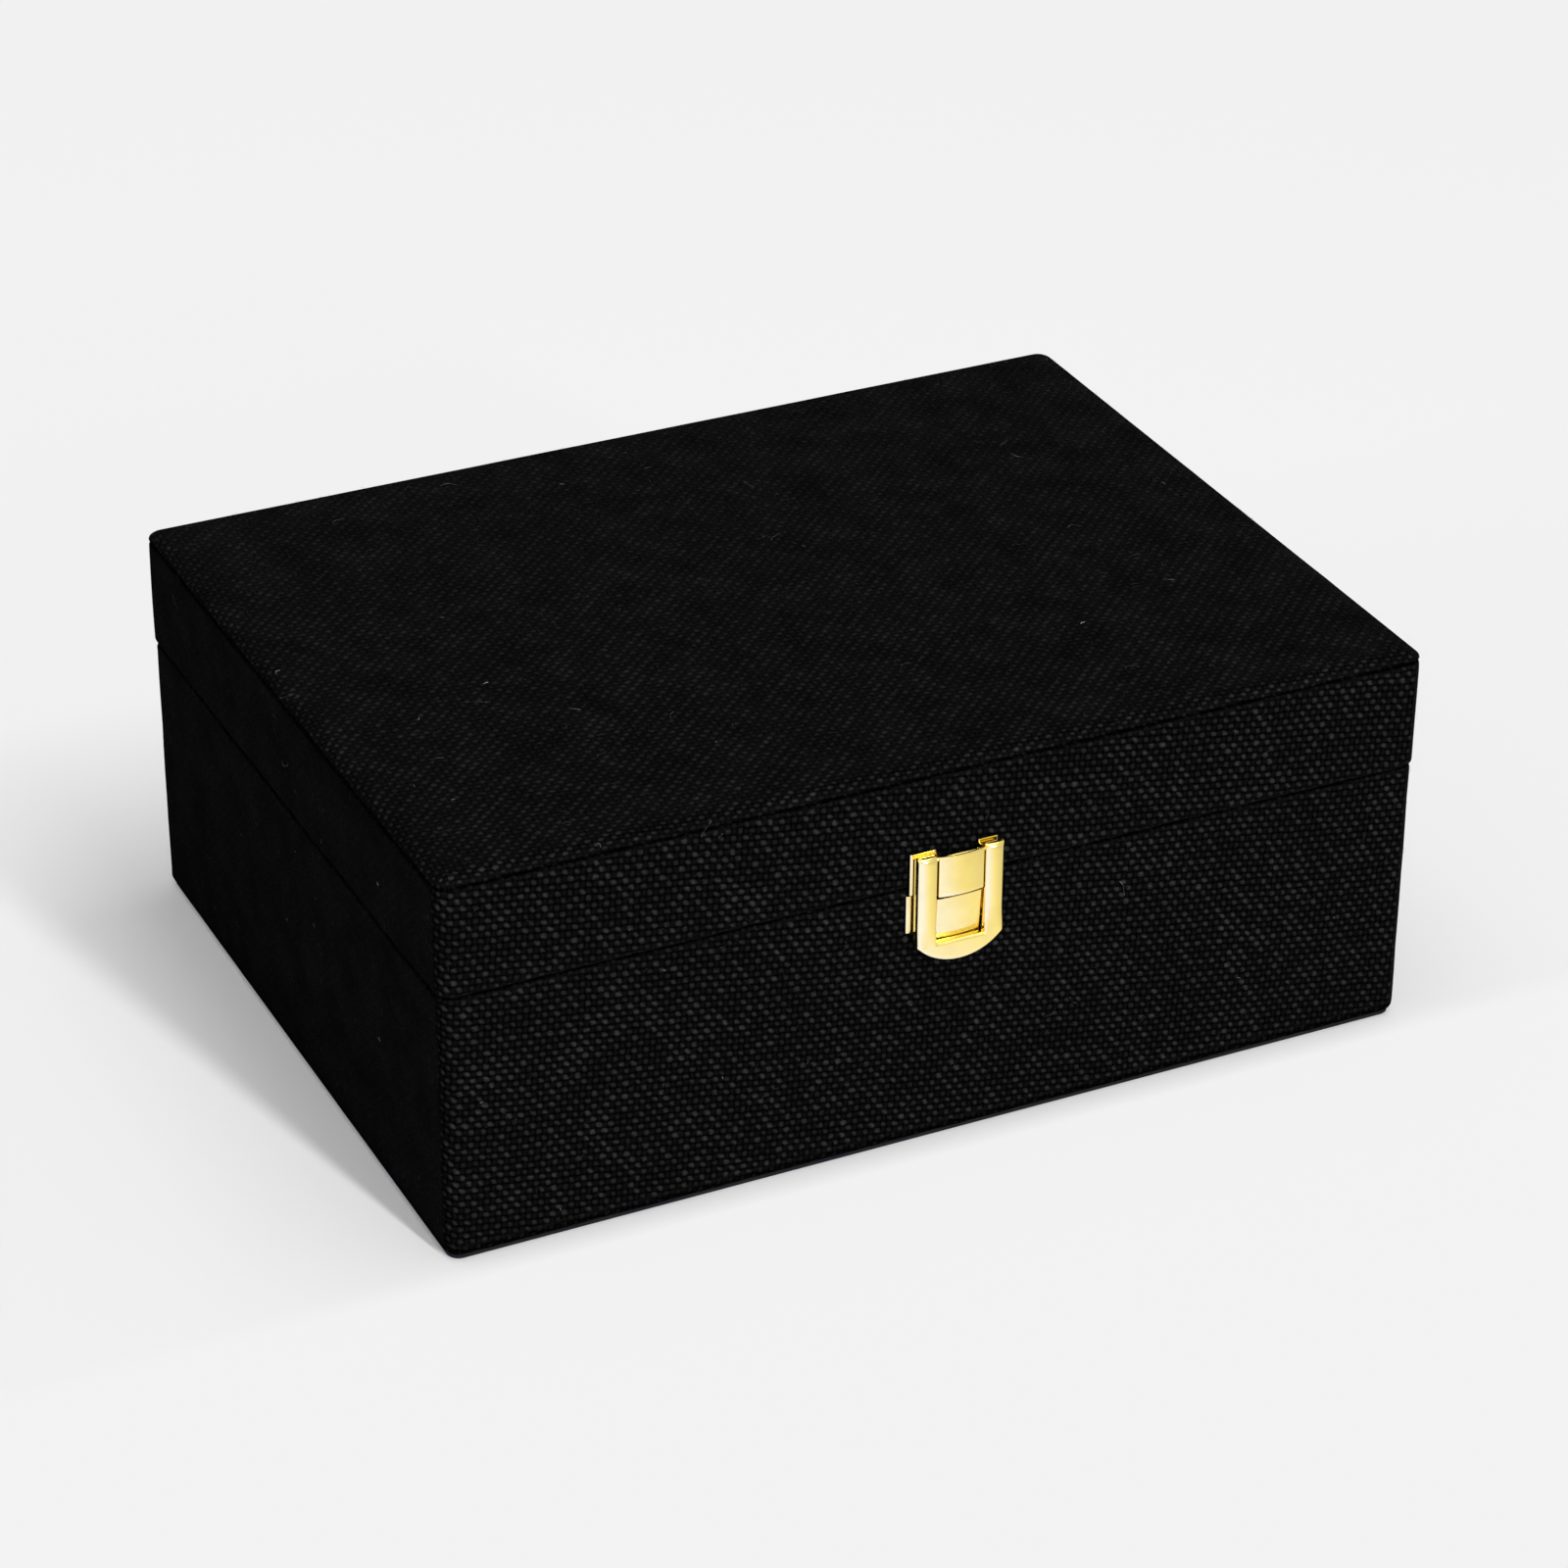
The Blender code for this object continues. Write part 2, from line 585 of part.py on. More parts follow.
def make_ring_rolls(looks):
    """Makes the row of padded rolls that grip rings, side by side in the front left of the tray."""
    start = SEAT - TRAY_INNER_X
    end = TRAY_FRONT_CROSS_X - TRAY_DIVIDER / 2 - SEAT
    front = -TRAY_INNER_Y + SEAT
    back = TRAY_LONG_Y - TRAY_DIVIDER / 2 - SEAT
    pitch = (back - front) / ROLL_COUNT
    section = roll_section(pitch - ROLL_SIDE_GAP)
    foot = TRAY_FLOOR_TOP + SEAT
    rows = []
    for i in range(EDGE_STEPS + 1):
        angle = math.pi / 2 * i / EDGE_STEPS
        rows.append((ROLL_END_RADIUS * (1 - math.cos(angle)), ROLL_END_RADIUS * (1 - math.sin(angle))))
    pieces = []
    for k in range(ROLL_COUNT):
        middle = front + pitch * (k + 1 / 2)
        loops = []
        for along, inset in rows:
            loops.append([roll_point(start + along, middle, foot, inset, point) for point in section])
        for along, inset in reversed(rows):
            loops.append([roll_point(end - along, middle, foot, inset, point) for point in section])
        roll = loft(f"ring_roll_{k + 1}", loops, looks["velvet"])
        smooth(roll)
        pieces.append(roll)
    return pieces


def roll_point(x, middle, foot, inset, point):
    """Places one point of a roll's section, drawn in near the roll's end."""
    middle_height = ROLL_HEIGHT / 2
    share = 1 - inset / middle_height
    return (x, middle + point[0] * share, foot + middle_height + (point[1] - middle_height) * share)


def sector(name, angles, radii, span):
    """Makes a piece of a thick ring about the hinge axis, between two angles measured from behind."""
    centre = (HINGE_Y, SPLIT)
    outline = arc(centre, radii[1], angles[0], angles[1], EDGE_STEPS)
    outline += arc(centre, radii[0], angles[1], angles[0], EDGE_STEPS)
    return loft(name, [[(x, y, z) for y, z in outline] for x in span])


def knuckle(name, low_x, high_x):
    """Makes one solid knuckle about the hinge axis."""
    profile = [(KNUCKLE_RADIUS, 0), (KNUCKLE_RADIUS, high_x - low_x)]
    return turned(name, profile, (low_x, HINGE_Y, SPLIT), (1, 0, 0))


def make_base_leaf(side, x, looks):
    """Makes the base's leaf: two outer knuckles and the bar that stops the lid."""
    low_x = x - HINGE_LENGTH / 2
    high_x = x + HINGE_LENGTH / 2
    free_low = x - MIDDLE_KNUCKLE / 2 - KNUCKLE_GAP
    free_high = x + MIDDLE_KNUCKLE / 2 + KNUCKLE_GAP
    foot = BASE_BOARD_TOP + SEAT
    low = (low_x, HINGE_Y - LEAF_WIDTH, foot)
    leaf = block(f"hinge_base_leaf_{side}", low, (high_x, HINGE_Y, foot + LEAF), looks["brass"])
    low = (free_low, HINGE_Y - KNUCKLE_RADIUS - LEAF_CLEARANCE, foot - OVERRUN)
    high = (free_high, HINGE_Y + OVERRUN, SPLIT + OVERRUN)
    cut(leaf, block(f"cutter_base_leaf_{side}", low, high))
    angles = (-math.pi / 2, -STOP_ANGLE)
    for name, start, end in (("left", low_x, free_low), ("right", free_high, high_x)):
        join(leaf, knuckle(f"cutter_base_knuckle_{name}_{side}", start, end))
        radii = (KNUCKLE_RADIUS - LEAF, STOP_REACH)
        join(leaf, sector(f"cutter_stop_web_{name}_{side}", angles, radii, (start, end)))
    radii = (KNUCKLE_RADIUS + LEAF_CLEARANCE, STOP_REACH)
    span = (free_low - LEAF, free_high + LEAF)
    join(leaf, sector(f"cutter_stop_bar_{side}", angles, radii, span))
    return leaf


def make_lid_leaf(side, x, looks):
    """Makes the lid's leaf: the middle knuckle and the lug that meets the stop bar."""
    low_x = x - HINGE_LENGTH / 2
    high_x = x + HINGE_LENGTH / 2
    middle_low = x - MIDDLE_KNUCKLE / 2
    middle_high = x + MIDDLE_KNUCKLE / 2
    top = LID_WALL_FOOT - SEAT
    low = (low_x, HINGE_Y - LEAF_WIDTH, top - LEAF)
    leaf = block(f"hinge_lid_leaf_{side}", low, (high_x, HINGE_Y, top), looks["brass"])
    notch = HINGE_Y - KNUCKLE_RADIUS - LEAF_CLEARANCE
    spans = (("left", low_x - OVERRUN, middle_low), ("right", middle_high, high_x + OVERRUN))
    for name, start, end in spans:
        high = (end, HINGE_Y + OVERRUN, top + OVERRUN)
        cut(leaf, block(f"cutter_lid_leaf_{name}_{side}", (start, notch, SPLIT - OVERRUN), high))
    join(leaf, knuckle(f"cutter_lid_knuckle_{side}", middle_low, middle_high))
    angles = (STOP_ANGLE, math.pi / 2)
    radii = (KNUCKLE_RADIUS - LEAF, STOP_REACH)
    join(leaf, sector(f"cutter_lug_{side}", angles, radii, (middle_low, middle_high)))
    return leaf


def make_hinge_pin(side, x, looks):
    """Makes the pin that runs through the knuckles, with rounded ends."""
    length = HINGE_LENGTH + 2 * HINGE_PIN_PROUD
    rounding = HINGE_PIN_PROUD
    profile = [
        (HINGE_PIN_RADIUS - rounding, 0),
        (HINGE_PIN_RADIUS, rounding),
        (HINGE_PIN_RADIUS, length - rounding),
        (HINGE_PIN_RADIUS - rounding, length),
    ]
    place = (x - length / 2, HINGE_Y, SPLIT)
    return turned(f"hinge_pin_{side}", profile, place, (1, 0, 0), looks["brass"])


def make_hinge(side, x, looks):
    """Makes one stop hinge: two leaves, the pin and four countersunk screws."""
    base_leaf = make_base_leaf(side, x, looks)
    lid_leaf = make_lid_leaf(side, x, looks)
    make_hinge_pin(side, x, looks)
    bore = HINGE_PIN_RADIUS + RUNNING_CLEARANCE
    length = HINGE_LENGTH + 2 * OVERRUN
    place = (x - length / 2, HINGE_Y, SPLIT)
    tool = turned(f"cutter_bore_{side}", [(bore, 0), (bore, length)], place, (1, 0, 0))
    cut(base_leaf, tool)
    cut(lid_leaf, tool)
    base_face = BASE_BOARD_TOP + SEAT + LEAF
    lid_face = LID_WALL_FOOT - SEAT - LEAF
    lid_pieces = [lid_leaf]
    outward = math.copysign(SCREW_X, x)
    for place_name, screw_x in (("outer", x + outward), ("inner", x - outward)):
        name = f"hinge_base_screw_{side}_{place_name}"
        make_screw(name, (screw_x, SCREW_Y, base_face), -1, (base_leaf, "base_back_board"), looks)
        name = f"hinge_lid_screw_{side}_{place_name}"
        screw = make_screw(name, (screw_x, SCREW_Y, lid_face), 1, (lid_leaf, "lid_back_board"), looks)
        lid_pieces.append(screw)
    return lid_pieces


def make_screw(name, place, direction, pierced, looks):
    """Makes a countersunk screw that goes from a leaf's face into a board, and cuts its holes in both."""
    leaf, board_name = pierced
    axis = (0, 0, direction)
    profile = [
        (SCREW_HEAD_RADIUS, SCREW_CLEARANCE),
        (SCREW_SHANK_RADIUS, SCREW_CLEARANCE + SCREW_HEAD_DEPTH),
        (SCREW_SHANK_RADIUS, SCREW_LENGTH - SCREW_POINT),
        (SCREW_CLEARANCE, SCREW_LENGTH),
    ]
    screw = turned(name, profile, place, axis, looks["brass"], sides=SMALL_SIDES)
    hole = SCREW_SHANK_RADIUS + SCREW_CLEARANCE
    widening = (SCREW_HEAD_RADIUS - SCREW_SHANK_RADIUS) / SCREW_HEAD_DEPTH
    head = SCREW_HEAD_RADIUS + SCREW_CLEARANCE + widening * SCREW_CLEARANCE
    sunk = SCREW_HEAD_DEPTH + SCREW_CLEARANCE
    profile = [
        (head + widening * OVERRUN, -OVERRUN),
        (head - widening * sunk, sunk),
        (hole, sunk + SCREW_CLEARANCE),
        (hole, SCREW_LENGTH + SCREW_CLEARANCE),
    ]
    tool = turned(f"cutter_{name}", profile, place, axis, sides=SMALL_SIDES)
    cut(leaf, tool)
    profile = [(hole, 0), (hole, SCREW_LENGTH + SCREW_CLEARANCE)]
    tool = turned(f"cutter_{name}_pilot", profile, place, axis, sides=SMALL_SIDES)
    cut(bpy.data.objects[board_name], tool)
    return screw


def cut_hinge_seat(base_wrap, lid_wrap, side, x):
    """Clears the cloth where a hinge lies on the boards' edges and where its knuckles stand."""
    half = HINGE_LENGTH / 2 + LEAF_CLEARANCE
    front = HINGE_Y - LEAF_WIDTH - LEAF_CLEARANCE
    back = HINGE_Y + OVERRUN
    reach = KNUCKLE_RADIUS + LEAF_CLEARANCE
    low = (x - half, front, SPLIT - reach)
    cut(base_wrap, block(f"cutter_base_seat_{side}", low, (x + half, back, SPLIT + OVERRUN)))
    low = (x - half, front, SPLIT - OVERRUN)
    cut(lid_wrap, block(f"cutter_lid_seat_{side}", low, (x + half, back, SPLIT + reach)))


def bracket_section(seat, front, tongue_front, left, right):
    """Gives a bracket's section in X and distance in front of the latch plane.

    The sheet lies against the cloth at its bent-back edges and stands out in the middle as a tongue.
    """
    half = TONGUE_HALF_WIDTH
    bend = FLANGE_BEND
    outer = [(-left, seat)]
    outer += arc((bend - left, front - bend), bend, math.pi, math.pi / 2, EDGE_STEPS)
    outer += [(-half, front)]
    for i in range(TONGUE_STEPS + 1):
        share = 2 * i / TONGUE_STEPS - 1
        outer.append((half * share, tongue_front + TONGUE_BULGE * (1 - share * share)))
    outer += [(half, front)]
    outer += arc((right - bend, front - bend), bend, math.pi / 2, 0, EDGE_STEPS)
    outer += [(right, seat)]
    inner_half = half - SHEET
    inner = [(right - SHEET, seat), (right - SHEET, front - SHEET), (inner_half, front - SHEET)]
    for i in range(TONGUE_STEPS + 1):
        share = 1 - 2 * i / TONGUE_STEPS
        inner.append((inner_half * share, tongue_front - SHEET + TONGUE_BULGE * (1 - share * share)))
    inner += [(-inner_half, front - SHEET), (SHEET - left, front - SHEET), (SHEET - left, seat)]
    return outer + inner


def bracket_loop(section, z):
    """Places a bracket's section at a height."""
    return [(LATCH_X + x, LATCH_PLANE - front, z) for x, front in section]


def latch_cutter(name, low_x, high_x, front_low, front_high, low_z, high_z):
    """Makes a box cutter given by distances in front of the latch plane."""
    low = (LATCH_X + low_x, LATCH_PLANE - front_high, low_z)
    return block(name, low, (LATCH_X + high_x, LATCH_PLANE - front_low, high_z))


def make_lid_bracket(looks):
    """Makes the stamped bracket on the lid, which carries the lever's pin."""
    foot = SPLIT - LID_TONGUE_FOOT
    top = SPLIT + LID_FLANGE_TOP
    section = bracket_section(SEAT, FLANGE_FRONT, LID_TONGUE_FRONT, LID_FLANGE_LEFT, LID_FLANGE_RIGHT)
    loops = [bracket_loop(section, z) for z in (foot, top)]
    bracket = loft("latch_lid_bracket", loops, looks["gold"])
    smooth(bracket)
    reach = LID_TONGUE_FRONT + TONGUE_BULGE + OVERRUN
    wall = TONGUE_HALF_WIDTH + SHEET
    tongue_top = SPLIT + LID_TONGUE_TOP
    tool = latch_cutter("cutter_tongue_top", -wall, wall, FLANGE_FRONT, reach, tongue_top, top + OVERRUN)
    cut(bracket, tool)
    flange_foot = SPLIT - LID_FLANGE_FOOT
    for side, start, end in (
        ("left", -LID_FLANGE_LEFT - OVERRUN, -TONGUE_HALF_WIDTH),
        ("right", TONGUE_HALF_WIDTH, LID_FLANGE_RIGHT + OVERRUN),
    ):
        name = f"cutter_lid_flange_{side}"
        cut(bracket, latch_cutter(name, start, end, -OVERRUN, reach, foot - OVERRUN, flange_foot))
    bore = LATCH_PIN_RADIUS + RUNNING_CLEARANCE
    length = 2 * (TONGUE_HALF_WIDTH + OVERRUN)
    place = (LATCH_X - length / 2, LATCH_PIN_Y, LATCH_PIN_Z)
    cut(bracket, turned("cutter_bracket_bore", [(bore, 0), (bore, length)], place, (1, 0, 0)))
    return bracket


def make_base_bracket(looks):
    """Makes the stamped catch on the base, whose tongue the lever's window closes over."""
    foot = SPLIT - BASE_TONGUE_FOOT
    top = SPLIT - BASE_FLANGE_TOP
    seat = SEAT - LID_OVERHANG
    front = FLANGE_FRONT - LID_OVERHANG
    low = bracket_section(seat, front, BASE_TONGUE_FRONT_FOOT, BASE_FLANGE_LEFT, BASE_FLANGE_RIGHT)
    high = bracket_section(seat, front, BASE_TONGUE_FRONT_TOP, BASE_FLANGE_LEFT, BASE_FLANGE_RIGHT)
    bracket = loft("latch_base_bracket", [bracket_loop(low, foot), bracket_loop(high, top)], looks["gold"])
    smooth(bracket)
    reach = BASE_TONGUE_FRONT_TOP + TONGUE_BULGE + OVERRUN
    wall = TONGUE_HALF_WIDTH + SHEET
    tongue_top = SPLIT - BASE_TONGUE_TOP
    tool = latch_cutter("cutter_catch_top", -wall, wall, front, reach, tongue_top, top + OVERRUN)
    cut(bracket, tool)
    flange_foot = SPLIT - BASE_FLANGE_FOOT
    for side, start, end in (
        ("left", -BASE_FLANGE_LEFT - OVERRUN, -TONGUE_HALF_WIDTH),
        ("right", TONGUE_HALF_WIDTH, BASE_FLANGE_RIGHT + OVERRUN),
    ):
        name = f"cutter_base_flange_{side}"
        cut(bracket, latch_cutter(name, start, end, seat - OVERRUN, reach, foot - OVERRUN, flange_foot))
    return bracket


def make_nail(name, x, z, flange_front, pierced, looks):
    """Makes a bracket nail and cuts its hole in each piece that it goes through."""
    place = (x, LATCH_PLANE - flange_front - RUNNING_CLEARANCE, z)
    edge = NAIL_HEAD_RADIUS - NAIL_HEAD / 2
    profile = [
        (edge, -NAIL_HEAD),
        (NAIL_HEAD_RADIUS, -NAIL_HEAD / 2),
        (NAIL_HEAD_RADIUS, 0),
        (NAIL_SHANK_RADIUS, 0),
        (NAIL_SHANK_RADIUS, NAIL_LENGTH - NAIL_SHANK_RADIUS),
        (NAIL_CLEARANCE, NAIL_LENGTH),
    ]
    nail = turned(name, profile, place, (0, 1, 0), looks["gold"], sides=SMALL_SIDES)
    hole = NAIL_SHANK_RADIUS + NAIL_CLEARANCE
    profile = [(hole, -OVERRUN), (hole, NAIL_LENGTH + NAIL_CLEARANCE)]
    tool = turned(f"cutter_{name}", profile, place, (0, 1, 0), sides=SMALL_SIDES)
    for piece in pierced:
        cut(piece, tool)
    return nail


def lever_outline():
    """Gives the lever's outline in X and Z: two rails up from a round-bottomed tab."""
    half = LEVER_HALF_WIDTH
    shoulder = SPLIT - LEVER_SHOULDER
    sagitta = LEVER_DROP - LEVER_SHOULDER
    radius = (half * half + sagitta * sagitta) / (2 * sagitta)
    spread = math.asin(half / radius)
    top = SPLIT + LEVER_TOP
    window = SPLIT - WINDOW_BOTTOM
    centre = (LATCH_X, shoulder - sagitta + radius)
    outline = arc(centre, radius, 1.5 * math.pi - spread, 1.5 * math.pi + spread, TAB_STEPS)
    left = LATCH_X - WINDOW_HALF_WIDTH
    right = LATCH_X + WINDOW_HALF_WIDTH
    outline += [(LATCH_X + half, top), (right, top), (right, window)]
    outline += [(left, window), (left, top), (LATCH_X - half, top)]
    return outline


def round_edges(piece, picks, radius, steps):
    """Rounds the edges of a mesh that a test picks out."""
    shape = bmesh.new()
    shape.from_mesh(piece.data)
    edges = [edge for edge in shape.edges if picks(edge)]
    bmesh.ops.bevel(shape, geom=edges, offset=radius, segments=steps, profile=0.5, affect="EDGES")
    bmesh.ops.recalc_face_normals(shape, faces=shape.faces)
    shape.to_mesh(piece.data)
    shape.free()


def make_lever(looks):
    """Makes the lever: round-ended rails on the pin and a tab that laps the catch."""
    rear = LATCH_PLANE - LEVER_REAR
    front = LATCH_PLANE - LEVER_FRONT
    outline = lever_outline()
    loops = [[(x, y, z) for x, z in outline] for y in (rear, front)]
    lever = loft("latch_lever", loops, looks["gold"])
    top = SPLIT + LEVER_TOP
    near = RUNNING_CLEARANCE / 2

    def is_rail_end(edge):
        first, second = (vertex.co for vertex in edge.verts)
        return max(abs(first.z - top), abs(second.z - top), abs(first.y - second.y)) < near

    def is_front(edge):
        return all(abs(vertex.co.y - front) < near for vertex in edge.verts)

    round_edges(lever, is_rail_end, LEVER_END_RADIUS, EDGE_STEPS)
    round_edges(lever, is_front, LEVER_EDGE_RADIUS, EDGE_STEPS - 1)
    smooth(lever)
    reach = LEVER_HALF_WIDTH + OVERRUN
    low_z = SPLIT - LEVER_DROP - OVERRUN
    high_z = SPLIT - WINDOW_BOTTOM + WINDOW_CLEARANCE
    rear_low = LEVER_REAR - OVERRUN
    cut(lever, latch_cutter("cutter_tab_rear", -reach, reach, rear_low, LEVER_TAB_REAR, low_z, high_z))
    bore = LATCH_PIN_RADIUS + RUNNING_CLEARANCE
    place = (LATCH_X - reach, LATCH_PIN_Y, LATCH_PIN_Z)
    cut(lever, turned("cutter_lever_bore", [(bore, 0), (bore, 2 * reach)], place, (1, 0, 0)))
    return lever


def make_latch_pin(looks):
    """Makes the pin that joins the lever to the lid's bracket."""
    length = 2 * (LEVER_HALF_WIDTH - LATCH_PIN_INSET)
    place = (LATCH_X - length / 2, LATCH_PIN_Y, LATCH_PIN_Z)
    profile = [(LATCH_PIN_RADIUS, 0), (LATCH_PIN_RADIUS, length)]
    return turned("latch_pin", profile, place, (1, 0, 0), looks["gold"])


def make_latch(lid_wrap, base_wrap, looks):
    """Makes the latch's brackets, nails, pin and lever."""
    lid_bracket = make_lid_bracket(looks)
    base_bracket = make_base_bracket(looks)
    lid_board = bpy.data.objects["lid_front_board"]
    base_board = bpy.data.objects["base_front_board"]
    lid_pieces = [lid_bracket]
    for side, x in (("left", NAIL_X_LEFT), ("right", NAIL_X_RIGHT)):
        pierced = (lid_bracket, lid_wrap, lid_board)
        z = SPLIT + LID_NAIL_RISE
        lid_pieces.append(make_nail(f"lid_nail_{side}", x, z, FLANGE_FRONT, pierced, looks))
        pierced = (base_bracket, base_wrap, base_board)
        z = SPLIT - BASE_NAIL_FALL
        make_nail(f"base_nail_{side}", x, z, FLANGE_FRONT - LID_OVERHANG, pierced, looks)
    lid_pieces.append(make_latch_pin(looks))
    return lid_pieces, make_lever(looks)


def main():
    """Builds the box and hangs its moving pieces on their axes."""
    clear_scene()
    looks = {
        "cloth": make_material("cloth", (0.012, 0.012, 0.012), 0.95, 0.0),
        "board": make_material("board", (0.42, 0.30, 0.19), 0.80, 0.0),
        "velvet": make_material("velvet", (0.016, 0.016, 0.018), 0.90, 0.0),
        "felt": make_material("felt", (0.020, 0.020, 0.020), 0.95, 0.0),
        "gold": make_material("gold", (0.93, 0.72, 0.26), 0.16, 1.0),
        "brass": make_material("brass", (0.86, 0.66, 0.28), 0.26, 1.0),
    }
    base_wrap = make_base_case(looks)
    make_lower_compartments(looks)
    lid_boards, lid_wrap, lid_pieces = make_lid_case(looks)
    lid_pieces += lid_boards + [lid_wrap]
    for side, x in (("left", -HINGE_X), ("right", HINGE_X)):
        lid_pieces += make_hinge(side, x, looks)
        cut_hinge_seat(base_wrap, lid_wrap, side, x)
    latch_pieces, lever = make_latch(lid_wrap, base_wrap, looks)
    lid_pieces += latch_pieces
    tray_pieces = make_tray(looks)
    lid_place = (0, HINGE_Y, SPLIT)
    lid_axis = add_axis("lid_axis", lid_place)
    hang(lid_pieces, lid_axis, lid_place)
    lever_place = (LATCH_X, LATCH_PIN_Y, LATCH_PIN_Z)
    lever_axis = add_axis("lever_axis", lever_place, lid_axis)
    hang([lever], lever_axis, lever_place)
    tray_place = (0, 0, TRAY_FOOT)
    hang(tray_pieces, add_axis("tray_axis", tray_place), tray_place)


main()
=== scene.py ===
"""Dresses the jewelry organizer box: woven cloth, velvet, gilt latch, hinges, floor, light and camera."""

import logging
import math
import random
from collections.abc import Callable, Sequence
from dataclasses import dataclass, field
from enum import Enum
from typing import Any

import bmesh
import bpy
import numpy as np
from mathutils import Matrix, Vector

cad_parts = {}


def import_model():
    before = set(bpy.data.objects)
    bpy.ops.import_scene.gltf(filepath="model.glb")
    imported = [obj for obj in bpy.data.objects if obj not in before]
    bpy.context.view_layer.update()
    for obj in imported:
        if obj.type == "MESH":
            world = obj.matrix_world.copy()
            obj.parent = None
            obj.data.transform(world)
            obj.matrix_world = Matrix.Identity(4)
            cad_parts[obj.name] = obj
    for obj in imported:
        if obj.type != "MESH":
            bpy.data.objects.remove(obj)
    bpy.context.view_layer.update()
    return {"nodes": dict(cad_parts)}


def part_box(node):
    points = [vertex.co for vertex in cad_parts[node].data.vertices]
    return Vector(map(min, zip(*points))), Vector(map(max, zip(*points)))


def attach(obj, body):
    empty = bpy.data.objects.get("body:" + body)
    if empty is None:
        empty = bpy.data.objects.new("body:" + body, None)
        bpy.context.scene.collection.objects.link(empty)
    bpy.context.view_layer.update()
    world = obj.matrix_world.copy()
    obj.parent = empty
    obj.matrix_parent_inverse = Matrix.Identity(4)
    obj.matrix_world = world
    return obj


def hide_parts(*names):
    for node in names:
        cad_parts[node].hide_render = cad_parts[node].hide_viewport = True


LOG = logging.getLogger("jewelry_box")
MM = 0.001
VECTOR = "NodeSocketVector"
GEOMETRY = "NodeSocketGeometry"
OBJECT = "NodeSocketObject"
MATERIAL = "NodeSocketMaterial"
FLOAT = "NodeSocketFloat"
NUMBERS = {float: FLOAT, int: "NodeSocketInt"}
WEAVE_UV = "weave"
# The point attribute with the painted shade of seams, folds and turned-in edges, from 0 to 1.
PAINTED_SHADE = "crease"

Socket = bpy.types.NodeSocket
Operand = float | int | Socket
Point = tuple[float, float, float]
Pair = tuple[float, float]
Four = tuple[float, float, float, float]
Piece = bpy.types.Object
Mesh = bpy.types.Mesh
Material = bpy.types.Material
Tree = bpy.types.NodeTree
Node = bpy.types.Node
Shape = bmesh.types.BMesh
Vertex = bmesh.types.BMVert
Test = Callable[[Vector, Vector], bool]
WHITE = (1.0, 1.0, 1.0, 1.0)


class Body(Enum):
    """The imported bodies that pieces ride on."""

    BASE = "base"
    LID = "lid"
    LEVER = "lever"
    TRAY = "tray"


class Slot(Enum):
    """The record's material slots."""

    CLOTH = "cloth"
    BOARD = "board"
    VELVET = "velvet"
    FELT = "felt"
    GOLD = "gold"
    BRASS = "brass"


class Facing(Enum):
    """Which way a padded panel's soft face looks."""

    UP = 1
    DOWN = -1


